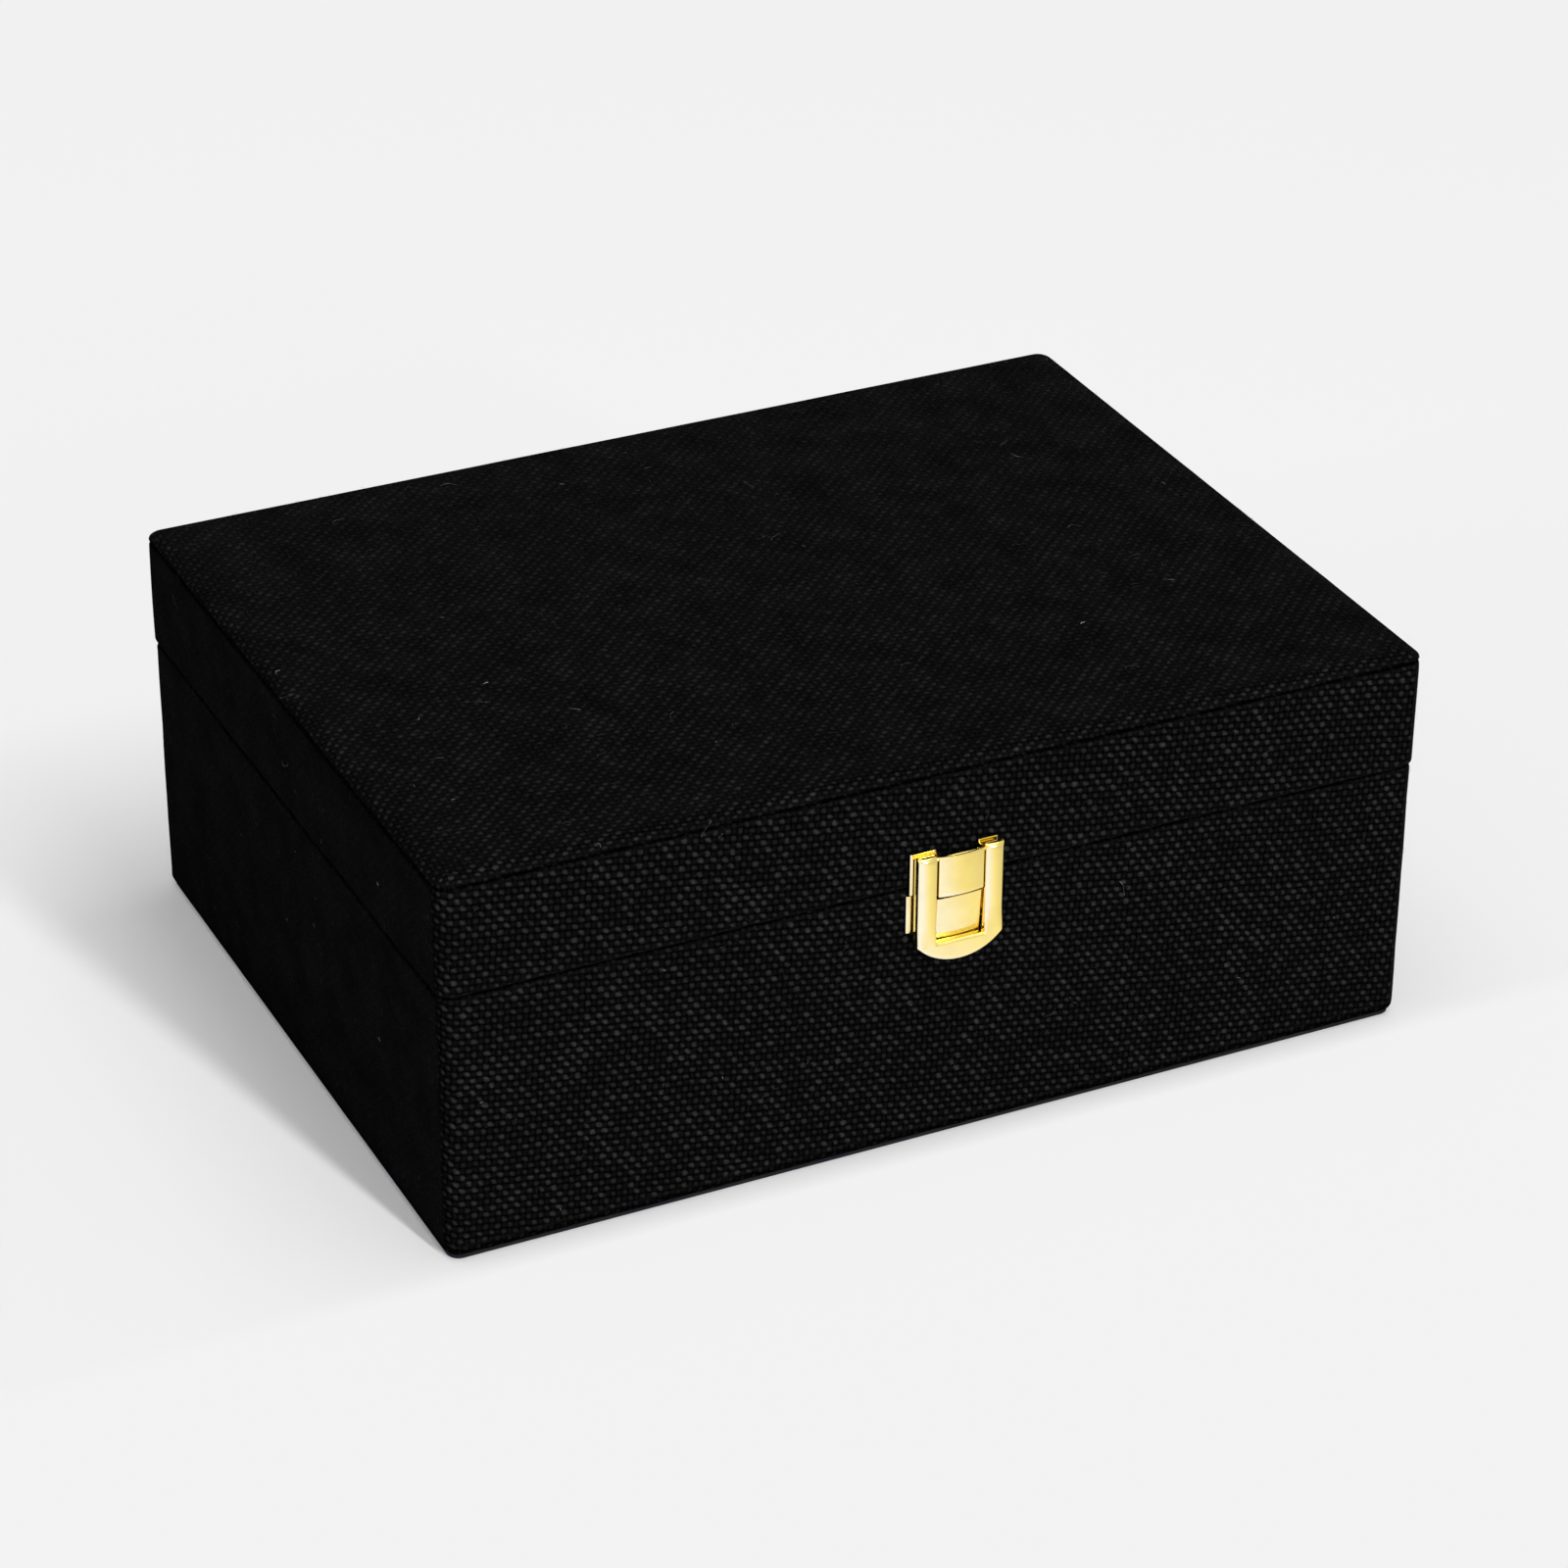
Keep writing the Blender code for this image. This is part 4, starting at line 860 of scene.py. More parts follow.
def freeze(target: Piece) -> None:
    """Replaces a piece's mesh by what its modifiers make of it, and removes them.

    Args:
        target: The piece.
    """
    bpy.context.view_layer.update()
    depsgraph = bpy.context.evaluated_depsgraph_get()
    shown = target.evaluated_get(depsgraph)
    mesh = bpy.data.meshes.new_from_object(shown, preserve_all_data_layers=True, depsgraph=depsgraph)
    target.modifiers.clear()
    old = target.data
    target.data = mesh
    mesh.name = target.name
    bpy.data.meshes.remove(old)


def rounded_copy(
    node: str, name: str, radius: float, steps: int, material: Material, bend: float = 30.0
) -> Piece:
    """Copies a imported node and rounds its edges.

    Args:
        node: The node.
        name: The copy's name.
        radius: The rounding's radius.
        steps: The rounding's steps.
        material: The copy's material.
        bend: The angle in degrees from which an edge is rounded.

    Returns:
        The copy.
    """
    shape = bmesh.new()
    shape.from_mesh(bpy.data.objects[node].data)
    bmesh.ops.remove_doubles(shape, verts=shape.verts, dist=0.002 * MM)
    bmesh.ops.dissolve_limit(shape, angle_limit=math.radians(0.5), verts=shape.verts, edges=shape.edges)
    limit = math.radians(bend)
    edges = [edge for edge in shape.edges if len(edge.link_faces) == 2 and edge.calc_face_angle() > limit]
    bmesh.ops.bevel(
        shape, geom=edges, offset=radius, segments=steps, profile=0.5, affect="EDGES", clamp_overlap=True
    )
    return from_bmesh(name, shape, material, 50.0)


def arc(centre: Sequence[float], radius: float, start: float, end: float, steps: int) -> list[Pair]:
    """Gives the points along an arc in a plane, both ends included; the angles are in degrees."""
    angles = np.radians(np.linspace(start, end, steps + 1))
    return [(centre[0] + radius * math.cos(a), centre[1] + radius * math.sin(a)) for a in angles]


def between(first: Sequence[float], last: Sequence[float], share: float) -> Pair:
    """Gives the point at a share of the way from one point in a plane to another."""
    return (first[0] + (last[0] - first[0]) * share, first[1] + (last[1] - first[1]) * share)


@dataclass(frozen=True)
class Ripples:
    """Slow, repeatable unevenness along a path and up a height."""

    seed: int
    waves: int = 7
    shortest: float = 14 * MM
    longest: float = 110 * MM

    def at(self, along: np.ndarray, up: np.ndarray | float = 0.0) -> np.ndarray:
        """Gives the unevenness, between about -1 and 1.

        Args:
            along: Lengths along the path.
            up: Lengths across it.

        Returns:
            One value for each place.
        """
        draw = random.Random(self.seed)
        total = np.zeros(np.broadcast(along, up).shape)
        for _ in range(self.waves):
            length = draw.uniform(self.shortest, self.longest)
            heading = draw.uniform(-1.2, 1.2)
            phase = draw.uniform(0, 2 * math.pi)
            reach = along * math.cos(heading) + up * math.sin(heading)
            total = total + np.sin(2 * math.pi * reach / length + phase)
        return total / math.sqrt(self.waves)


@dataclass(frozen=True)
class Outline:
    """A rectangle with rounded corners in plan, sampled the same way at every inset."""

    half_x: float
    half_y: float
    radius: float
    step: float
    corner_steps: int = 8

    def plan(self, inset: float = 0.0) -> tuple[np.ndarray, np.ndarray]:
        """Gives the outline's points and outward directions at an inset.

        It starts behind the back left corner and runs down the left side, so that the cloth's joint is there.

        Args:
            inset: How far the outline moves in.

        Returns:
            The points and the directions, one row each.
        """
        half_x = self.half_x - inset
        half_y = self.half_y - inset
        radius = max(min(self.radius - inset, half_y, half_x), 0.0)
        points: list[Pair] = []
        facing: list[Pair] = []
        corners = ((-1, 1, 90), (-1, -1, 180), (1, -1, 270), (1, 1, 0))
        for k, (side_x, side_y, start) in enumerate(corners):
            centre = (side_x * (half_x - radius), side_y * (half_y - radius))
            for i in range(self.corner_steps + 1):
                angle = math.radians(start + 90 * i / self.corner_steps)
                facing.append((math.cos(angle), math.sin(angle)))
                points.append((centre[0] + radius * math.cos(angle), centre[1] + radius * math.sin(angle)))
            following = corners[(k + 1) % 4]
            target = (following[0] * (half_x - radius), following[1] * (half_y - radius))
            normal = facing[-1]
            span = 2 * (self.half_y if k % 2 == 0 else self.half_x)
            count = max(int(span / self.step), 2)
            first = (centre[0] + radius * normal[0], centre[1] + radius * normal[1])
            last = (target[0] + radius * normal[0], target[1] + radius * normal[1])
            for i in range(1, count):
                facing.append(normal)
                points.append(between(first, last, i / count))
        return np.array(points), np.array(facing)

    def lengths(self) -> np.ndarray:
        """Gives the length along the outline at each point, and at the end.

        Returns:
            The lengths.
        """
        points, _ = self.plan()
        steps = np.linalg.norm(np.roll(points, -1, axis=0) - points, axis=1)
        return np.concatenate([[0.0], np.cumsum(steps)])


def woven_surface(
    name: str,
    rows: np.ndarray,
    uv: np.ndarray,
    painted_shades: Sequence[float],
    close_rows: bool,
    material: Material,
) -> Piece:
    """Makes a mesh of closed rings with weave coordinates in metres.

    Args:
        name: The object's name.
        rows: Points, by row, place along the ring and axis.
        uv: Weave coordinates, by row and place, with one more place to close the ring, and one more row
            where the rows close.
        painted_shades: How much painted shade each row gets in a seam or fold, from 0 to 1.
        close_rows: Whether the last row joins the first.
        material: The material.

    Returns:
        The object.
    """
    count, places, _ = rows.shape
    bands = count if close_rows else count - 1
    faces = []
    corners = []
    for r in range(bands):
        after = (r + 1) % count
        for c in range(places):
            d = (c + 1) % places
            faces.append((r * places + c, r * places + d, after * places + d, after * places + c))
            corners.extend((uv[r, c], uv[r, c + 1], uv[r + 1, c + 1], uv[r + 1, c]))
    mesh = bpy.data.meshes.new(name)
    mesh.from_pydata(rows.reshape(-1, 3).tolist(), [], faces)
    layer = mesh.uv_layers.new(name=WEAVE_UV)
    layer.data.foreach_set("uv", np.array(corners, dtype=np.float32).ravel())
    depth = mesh.attributes.new(PAINTED_SHADE, "FLOAT", "POINT")
    depth.data.foreach_set("value", np.repeat(np.array(painted_shades, dtype=np.float32), places))
    shape = bmesh.new()
    shape.from_mesh(mesh)
    bmesh.ops.remove_doubles(shape, verts=shape.verts, dist=0.001 * MM)
    bmesh.ops.recalc_face_normals(shape, faces=shape.faces)
    shape.to_mesh(mesh)
    shape.free()
    return link_mesh(name, mesh, material, 60.0)


@dataclass
class ClothSkin:
    """Woven cloth glued round the walls of the base or the lid and turned in at both edges."""

    looks: Looks
    body: Body
    node: str
    name: str
    foot_turn: float
    top_turn: float
    foot_radius: float = 2.0 * MM
    top_radius: float = 1.05 * MM
    foot_shade: float = 0.1
    fold_shade: float = 0.9
    grow: float = 0.0
    corner: float = 4.0 * MM
    cloth: float = 0.9 * MM
    bulge: float = 0.10 * MM
    edge_wave: float = 0.10 * MM
    ragged: float = 0.09 * MM
    wall_rows: int = 10
    seed: int = 3
    step: float = 1.1 * MM
    bend_steps: int = 6
    inner_steps: int = 3
    foot_reach: float = 1.6
    edge_share: float = 0.5
    edge_step: float = 0.8 * MM
    next_share: float = 0.8
    next_shade: float = 0.6

    def profile(self, foot: float, top: float) -> list[Four]:
        """Gives the skin's closed section.

        Args:
            foot: The height of its lower edge.
            top: The height of its upper edge.

        Returns:
            For each place the inset, the height, how much of the wall's bulge shows, and its painted shade.
        """
        foot_centre = (self.foot_radius, foot + self.foot_radius)
        top_centre = (self.top_radius, top - self.top_radius)
        low = arc(foot_centre, self.foot_radius, 270, 180, self.bend_steps)
        high = arc(top_centre, self.top_radius, 180, 90, self.bend_steps)
        # Painted shade on the rows round the foot, over the top edge and turned in; the wall gets none.
        foot_fade = np.linspace(1, 0, len(low)) ** self.fold_shade
        low_shades = self.foot_shade + (1 - self.foot_shade) * foot_fade
        high_shades = np.linspace(0, 1, len(high)) ** self.fold_shade
        start, end, edge = low[-1][1], high[0][1], self.edge_step
        section = [(self.foot_turn, foot, 0.0, 1.0)]
        section.append((self.foot_radius * self.foot_reach, foot, 0.0, 1.0))
        section += [(x, z, self.edge_share, shade) for (x, z), shade in zip(low, low_shades)]
        section.append((0.0, start + edge, self.next_share, self.foot_shade * self.next_shade))
        for z in np.linspace(start + 2 * edge, end - 2 * edge, self.wall_rows):
            section.append((0.0, float(z), 1.0, 0.0))
        section.append((0.0, end - edge, self.next_share, 0.0))
        section += [(x, z, self.edge_share, shade) for (x, z), shade in zip(high, high_shades)]
        section += [(self.top_turn, top, 0.0, 1.0), (self.top_turn, top - self.cloth, 0.0, 1.0)]
        inside = arc(top_centre, self.top_radius - self.cloth, 90, 180, self.inner_steps)
        inside += arc(foot_centre, self.foot_radius - self.cloth, 180, 270, self.inner_steps)
        section += [(x, z, 0.0, 1.0) for x, z in inside]
        section += [(self.foot_turn, foot + self.cloth, 0.0, 1.0)]
        return section

    def build(self) -> Piece:
        """Makes the skin with its uneven walls and edges.

        Returns:
            The skin.
        """
        low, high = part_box(self.node)
        outline = Outline(high.x + self.grow, high.y + self.grow, self.corner, self.step)
        lengths = outline.lengths()
        section = self.profile(low.z, high.z)
        wave = Ripples(self.seed)
        edge = Ripples(self.seed + 20, waves=9, shortest=9 * MM, longest=60 * MM)
        yarns = Ripples(self.seed + 40, waves=9, shortest=2.4 * MM, longest=7 * MM)
        rows = []
        heights = [0.0]
        for k, (inset, z, share, _) in enumerate(section):
            points, facing = outline.plan(inset)
            push = self.bulge * share * wave.at(lengths[:-1], z)
            lift = self.edge_wave * edge.at(lengths[:-1]) + self.ragged * yarns.at(lengths[:-1])
            flat = points + facing * push[:, None]
            rows.append(np.column_stack([flat, z + lift * (share == self.edge_share)]))
            after = section[(k + 1) % len(section)]
            heights.append(heights[-1] + math.hypot(after[0] - inset, after[1] - z))
        uv = np.zeros((len(section) + 1, len(lengths), 2))
        uv[..., 0] = lengths[None, :]
        uv[..., 1] = np.array(heights)[:, None]
        painted_shades = [row[3] for row in section]
        return woven_surface(self.name, np.array(rows), uv, painted_shades, True, self.looks.cloth)

    def dress(self, seats: Sequence[tuple[Sequence[float], Sequence[float]]]) -> Piece:
        """Cuts the hinge seats out of the skin and settles it.

        Args:
            seats: The lowest and highest corner of each seat.

        Returns:
            The finished skin.
        """
        piece = self.build()
        cut_away(piece, [box_mesh(f"{self.name}_seat_{k}", low, high) for k, (low, high) in enumerate(seats)])
        return settle(piece, self.body, [self.node])


@dataclass
class PaddedPanel:
    """A board wrapped over thin padding: soft shoulders, a low crown and an uneven face."""

    material: Material
    slot: Slot
    body: Body
    node: str
    name: str
    corner: float
    edge_radius: float
    shoulder: float
    crown: float
    facing: Facing = Facing.UP
    dents: float = 0.06 * MM
    edge_wave: float = 0.0
    fill: float = 0.9
    grow: float = 0.0
    seed: int = 11
    step: float = 3.2 * MM
    middle_gap: float = 0.05 * MM
    shoulder_steps: int = 10
    shoulder_share: float = 0.3
    face_steps: int = 17
    seam_shade: float = 0.85

    def rows(self, thickness: float, reach: float) -> list[Four]:
        """Gives the panel's section, from under its foot over the shoulder to the middle of its face.

        Args:
            thickness: The panel's height.
            reach: How far in the middle of its face lies.

        Returns:
            For each place the inset, the height above the foot, how much unevenness shows, and its painted
            shade.
        """
        edge = self.edge_radius
        # Painted shade under the foot and round its edge, fading up the shoulder; the face gets none.
        section = [(reach, 0.0, 0.0, 1.0), (self.shoulder, 0.0, 0.0, 1.0)]
        section += [(x, z, 0.0, 1.0) for x, z in arc((edge, edge), edge, 270, 180, 5)]
        rise = thickness - self.crown - edge
        for i in range(1, self.shoulder_steps + 1):
            share = i / self.shoulder_steps
            angle = math.pi / 2 * i / self.shoulder_steps
            inset = self.shoulder * (1 - math.cos(angle)) ** 0.9
            crease = self.seam_shade * (1 - share) ** 3
            section.append((inset, edge + rise * math.sin(angle), self.shoulder_share, crease))
        for i in range(1, self.face_steps + 1):
            share = i / self.face_steps
            height = thickness - self.crown * (1 - share) ** 2
            section.append((self.shoulder + (reach - self.shoulder) * share, height, 1.0, 0.0))
        return section

    def build(self) -> Piece:
        """Makes the panel.

        Returns:
            The panel.
        """
        low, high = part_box(self.node)
        outline = Outline(high.x + self.grow, high.y + self.grow, self.corner, self.step)
        lengths = outline.lengths()
        reach = high.y - self.middle_gap
        wave = Ripples(self.seed, waves=9, shortest=22 * MM, longest=140 * MM)
        edge = Ripples(self.seed + 5, waves=9, shortest=9 * MM, longest=60 * MM)
        rows = []
        coordinates = []
        painted_shades = []
        for inset, height, share, crease in self.rows(high.z - low.z, reach):
            painted_shades.append(crease)
            points, facing = outline.plan(inset)
            x, y = points[:, 0], points[:, 1]
            uneven = self.dents * share * wave.at(x, y)
            drop = max(high.z - low.z - height, 0.0) * (share < 1.0)
            lift = self.edge_wave * edge.at(lengths[:-1]) * (height < self.edge_radius * 2)
            level = low.z + height + lift if self.facing is Facing.UP else high.z - height - lift
            rows.append(np.column_stack([x, y, level + uneven * self.facing.value]))
            flat = points + facing * drop
            coordinates.append(np.vstack([flat, flat[:1]]))
        return woven_surface(self.name, np.array(rows), np.array(coordinates), painted_shades, False, self.material)

    def dress(self) -> Piece:
        """Settles the panel.

        Returns:
            The finished panel.
        """
        piece = settle(self.build(), self.body, [self.node])
        return piece


@dataclass
class VelvetBoards:
    """The velvet-wrapped boards of the inside: linings, rests, dividers and the tray's walls and floor."""

    looks: Looks
    radius: float = 0.7 * MM
    lining_radius: float = 0.35 * MM
    steps: int = 3
    base_nodes: tuple[str, ...] = (
        "tray_rest_left",
        "tray_rest_right",
        "lower_cross_divider",
        "lower_long_divider",
    )
    tray_nodes: tuple[str, ...] = (
        "tray_floor",
        "tray_front_wall",
        "tray_back_wall",
        "tray_left_wall",
        "tray_right_wall",
        "tray_long_divider",
        "tray_front_cross_divider",
        "tray_back_cross_divider",
    )

    def dress(self) -> None:
        """Makes and settles every board."""
        for node, body in (("base_lining", Body.BASE), ("lid_lining", Body.LID)):
            piece = rounded_copy(node, f"velvet_{node}", self.lining_radius, self.steps, self.looks.velvet)
            settle(piece, body, [node])
        for nodes, body in ((self.base_nodes, Body.BASE), (self.tray_nodes, Body.TRAY)):
            for node in nodes:
                piece = rounded_copy(node, f"velvet_{node}", self.radius, self.steps, self.looks.velvet)
                settle(piece, body, [node])


def run_tree(tree: Tree, mesh: Mesh, values: dict[str, Any], name: str, sharp: float = 60.0) -> Piece:
    """Runs a geometry tree once on a mesh and keeps its result as a plain mesh.

    Args:
        tree: The geometry tree.
        mesh: The mesh that it starts from.
        values: Its inputs by name.
        name: The result's name.
        sharp: The angle in degrees from which an edge stays sharp.

    Returns:
        The result.
    """
    host = bpy.data.objects.new(name, mesh)
    bpy.context.scene.collection.objects.link(host)
    modifier = host.modifiers.new("shape", "NODES")
    modifier.node_group = tree
    identifiers = {item.name: item.identifier for item in tree.interface.items_tree if item.in_out == "INPUT"}
    for label, value in values.items():
        modifier[identifiers[label]] = value
    freeze(host)
    host.data.shade_smooth()
    host.data.set_sharp_from_angle(angle=math.radians(sharp))
    return host


def real_instances(g: Graph, placing: dict[str, Socket]) -> Socket:
    """Sets a pattern on points and makes the instances real."""
    placed = g.node("GeometryNodeInstanceOnPoints", placing, "Instances")
    return g.node("GeometryNodeRealizeInstances", {"Geometry": placed}, "Geometry")


def end_tree(g: Graph, given: dict[str, Socket], leave: Node, geometry: Socket) -> Tree:
    """Ends a geometry tree by setting its material on the real geometry that it has made."""
    coated = {"Geometry": geometry, "Material": given["Material"]}
    return end_group(g, leave, {"Geometry": g.node("GeometryNodeSetMaterial", coated)})


def ring_roll_tree() -> Tree:
    """Builds the geometry tree for a row of padded rolls.

    Returns:
        The tree. Each roll is a rounded bar drawn in at its ends, swept along a line and repeated.
    """
    inputs = {
        "Geometry": GEOMETRY,
        "Count": 6,
        "Pitch": 14 * MM,
        "Start": VECTOR,
        "Length": 120 * MM,
        "Half Width": 7 * MM,
        "Half Height": 7.5 * MM,
        "Squareness": 0.62,
        "End Sharpness": 30.0,
        "Softness": 0.1 * MM,
        "Material": MATERIAL,
    }
    g, given, leave = new_group("row of padded rolls", "GeometryNodeTree", inputs, ["Geometry"], GEOMETRY)
    line = g.node("GeometryNodeCurvePrimitiveLine", {"End": g.join(given["Length"], 0.0, 0.0)}, "Curve")
    line = g.node("GeometryNodeResampleCurve", {"Curve": line, "Count": 110}, "Curve")
    factor = g.node("GeometryNodeSplineParameter", {}, "Factor")
    away = g.math("ABSOLUTE", g.math("MULTIPLY_ADD", factor, 2.0, -1.0))
    fullness = g.math("SUBTRACT", 1.0, g.math("POWER", away, given["End Sharpness"]))
    fullness = g.math("POWER", g.math("MAXIMUM", fullness, 0.0001), 0.5)
    line = g.node("GeometryNodeSetCurveRadius", {"Curve": line, "Radius": fullness}, "Curve")
    round_profile = {"Resolution": 48, "Radius": 1.0}
    circle = g.node("GeometryNodeCurvePrimitiveCircle", round_profile, "Curve", mode="RADIUS")
    x, y, _ = g.split(g.node("GeometryNodeInputPosition", {}))
    parts = []
    for part, half in ((x, given["Half Height"]), (y, given["Half Width"])):
        size = g.math("POWER", g.math("ABSOLUTE", part), given["Squareness"])
        parts.append(g.product(size, g.math("SIGN", part), half))
    place = g.join(parts[0], parts[1], 0.0)
    profile = g.node("GeometryNodeSetPosition", {"Geometry": circle, "Position": place}, "Geometry")
    sweep = {"Curve": line, "Profile Curve": profile, "Fill Caps": True}
    roll = g.node("GeometryNodeCurveToMesh", sweep, "Mesh")
    offset = g.join(0.0, given["Pitch"], 0.0)
    row = {"Count": given["Count"], "Start Location": given["Start"], "Offset": offset}
    points = g.node("GeometryNodeMeshLine", row, "Mesh", mode="OFFSET")
    real = real_instances(g, {"Points": points, "Instance": roll})
    where = g.node("GeometryNodeInputPosition", {})
    normal = g.node("GeometryNodeInputNormal", {})
    uneven = g.product(g.math("SUBTRACT", g.noise(where, 90, 2), 0.5), given["Softness"])
    pushed = {"Geometry": real, "Offset": g.vector_math("SCALE", normal, uneven)}
    return end_tree(g, given, leave, g.node("GeometryNodeSetPosition", pushed, "Geometry"))


@dataclass
class RingRolls:
    """The row of padded rolls that grip rings in the tray."""

    looks: Looks
    count: int = 6
    side_gap: float = 0.25 * MM
    name: str = "velvet_ring_rolls"

    def dress(self) -> Piece:
        """Makes the row between the first and the last roll's nodes.

        Returns:
            The finished row.
        """
        nodes = [f"ring_roll_{k + 1}" for k in range(self.count)]
        low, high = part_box(nodes[0])
        last_low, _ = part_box(nodes[-1])
        pitch = (last_low.y - low.y) / (self.count - 1)
        half_height = (high.z - low.z) / 2
        values = {
            "Count": self.count,
            "Pitch": pitch,
            "Start": (low.x, (low.y + high.y) / 2, low.z + half_height),
            "Length": high.x - low.x,
            "Half Width": (high.y - low.y) / 2 + self.side_gap / 2,
            "Half Height": half_height,
            "Material": self.looks.velvet,
        }
        piece = run_tree(ring_roll_tree(), bpy.data.meshes.new(self.name), values, self.name)
        settle(piece, Body.TRAY, nodes)
        return piece


def fastener_tree() -> Tree:
    """Builds the geometry tree that sets one fastener at each point, turned its own way.

    Returns:
        The tree. The points carry the direction that each fastener looks in, as the attribute "outward".
    """
    inputs = {
        "Geometry": GEOMETRY,
        "Fastener": OBJECT,
        "Seed": 5,
        "Material": MATERIAL,
    }
    name = "fasteners at their holes"
    g, given, leave = new_group(name, "GeometryNodeTree", inputs, ["Geometry"], GEOMETRY)
    pattern = {"Object": given["Fastener"]}
    fastener = g.node("GeometryNodeObjectInfo", pattern, "Geometry", transform_space="ORIGINAL")
    outward = g.node(
        "GeometryNodeInputNamedAttribute", {"Name": "outward"}, "Attribute", data_type="FLOAT_VECTOR"
    )
    spin = {2: 0.0, 3: 2 * math.pi, "Seed": given["Seed"]}
    angle = g.node("FunctionNodeRandomValue", spin, 1, data_type="FLOAT")
    aligned = g.node("FunctionNodeAlignRotationToVector", {"Vector": outward}, axis="Z")
    turn = g.node("FunctionNodeAxisAngleToRotation", {"Axis": (0.0, 0.0, 1.0), "Angle": angle})
    turned = g.node("FunctionNodeRotateRotation", {0: aligned, 1: turn}, rotation_space="LOCAL")
    placing = {"Points": given["Geometry"], "Instance": fastener, "Rotation": turned}
    return end_tree(g, given, leave, real_instances(g, placing))


def point_cloud(name: str, places: Sequence[Sequence[float]], outward: Sequence[float]) -> Mesh:
    """Makes a mesh of loose points that all look one way.

    Args:
        name: The mesh's name.
        places: The points.
        outward: The direction.

    Returns:
        The mesh.
    """
    mesh = bpy.data.meshes.new(name)
    mesh.from_pydata([tuple(place) for place in places], [], [])
    layer = mesh.attributes.new("outward", "FLOAT_VECTOR", "POINT")
    layer.data.foreach_set("vector", np.tile(outward, len(places)).astype(np.float32))
    return mesh


def turned_mesh(name: str, profile: Sequence[Pair], sides: int) -> Piece:
    """Turns a profile round Z.

    Args:
        name: The object's name.
        profile: Radii and heights, from the foot up.
        sides: How many sides it gets.

    Returns:
        The object.
    """
    shape = bmesh.new()
    angles = [2 * math.pi * i / sides for i in range(sides)]
    skin(shape, [[(r * math.cos(a), r * math.sin(a), z) for a in angles] for r, z in profile])
    return from_bmesh(name, shape)


def laid_pin(
    name: str, low: Vector, high: Vector, end: Sequence[Pair], sides: int, material: Material
) -> Piece:
    """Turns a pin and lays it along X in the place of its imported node.

    Args:
        name: The pin's name.
        low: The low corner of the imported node's box.
        high: Its high corner.
        end: Radii and heights of one end; the other end mirrors it.
        sides: How many sides it gets.
        material: Its material.

    Returns:
        The pin.
    """
    length = high.x - low.x
    piece = turned_mesh(name, [*end, *((r, length - z) for r, z in reversed(end))], sides)
    piece.data.materials.append(material)
    turn = Vector((0, 0, 1)).rotation_difference(Vector((1, 0, 0))).to_matrix().to_4x4()
    piece.data.transform(Matrix.Translation((low.x, (low.y + high.y) / 2, (low.z + high.z) / 2)) @ turn)
    return piece


@dataclass
class Hinges:
    """The two brass stop hinges behind the box, with their screws and pins."""

    looks: Looks
    tree: Tree
    edge: float = 0.12 * MM
    edge_steps: int = 2
    edge_bend: float = 50.0
    head_radius: float = 1.5 * MM
    head_depth: float = 0.6 * MM
    shank_radius: float = 0.7 * MM
    length: float = 7.5 * MM
    dome: float = 0.12 * MM
    recess_half: float = 0.95 * MM
    recess_width: float = 0.17 * MM
    recess_depth: float = 0.45 * MM
    screw_sides: int = 28
    pin_sides: int = 32
    sides: tuple[str, ...] = ("left", "right")
    ends: tuple[str, ...] = ("outer", "inner")

    def screw(self) -> Piece:
        """Makes one countersunk screw with a cross recess, looking up from its leaf's face.

        Returns:
            The screw, as a pattern.
        """
        radius = self.head_radius
        profile = [
            (0.1 * MM, -self.length),
            (self.shank_radius, -self.length + 1.2 * MM),
            (self.shank_radius, -self.head_depth),
            (radius, -0.10 * MM),
            (radius, -0.04 * MM),
            (radius * 0.93, 0.0),
            (radius * 0.6, self.dome * 0.6),
            (radius * 0.2, self.dome),
        ]
        made = turned_mesh("screw_pattern", profile, self.screw_sides)
        cutters = []
        for across in (0, 1):
            half = (self.recess_half, self.recess_width) if across else (self.recess_width, self.recess_half)
            low = (-half[0], -half[1], -self.recess_depth)
            cutters.append(box_mesh(f"recess_{across}", low, (half[0], half[1], self.head_depth)))
        cut_away(made, cutters)
        return made

    def dress(self) -> None:
        """Makes and settles the leaves, pins and screws."""
        pattern = self.screw()
        for body, part in ((Body.BASE, "base"), (Body.LID, "lid")):
            nodes = [f"hinge_{part}_screw_{side}_{end}" for side in self.sides for end in self.ends]
            outward = (0.0, 0.0, 1.0 if body is Body.BASE else -1.0)
            places = []
            for node in nodes:
                low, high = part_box(node)
                level = high.z if body is Body.BASE else low.z
                places.append(((low.x + high.x) / 2, (low.y + high.y) / 2, level))
            name = f"brass_{part}_screws"
            values = {"Fastener": pattern, "Seed": 5 + len(part), "Material": self.looks.brass}
            piece = run_tree(self.tree, point_cloud(name, places, outward), values, name, 35.0)
            settle(piece, body, nodes)
            for side in self.sides:
                node = f"hinge_{part}_leaf_{side}"
                name = f"brass_{part}_leaf_{side}"
                edges = (self.edge, self.edge_steps, self.looks.brass, self.edge_bend)
                settle(rounded_copy(node, name, *edges), body, [node])
        bpy.data.objects.remove(pattern, do_unlink=True)
        for side in self.sides:
            self.pin(side)

    def pin(self, side: str) -> None:
        """Makes one hinge pin with domed ends.

        Args:
            side: "left" or "right".
        """
        node = f"hinge_pin_{side}"
        low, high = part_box(node)
        radius = (high.z - low.z) / 2
        dome = [(radius * math.cos(a), -radius * 0.6 * math.sin(a)) for a in np.linspace(1.45, 0, 6)]
        end = [(r, z - dome[0][1]) for r, z in dome]
        piece = laid_pin(f"brass_{node}", low, high, end, self.pin_sides, self.looks.brass)
        settle(piece, Body.BASE, [node])


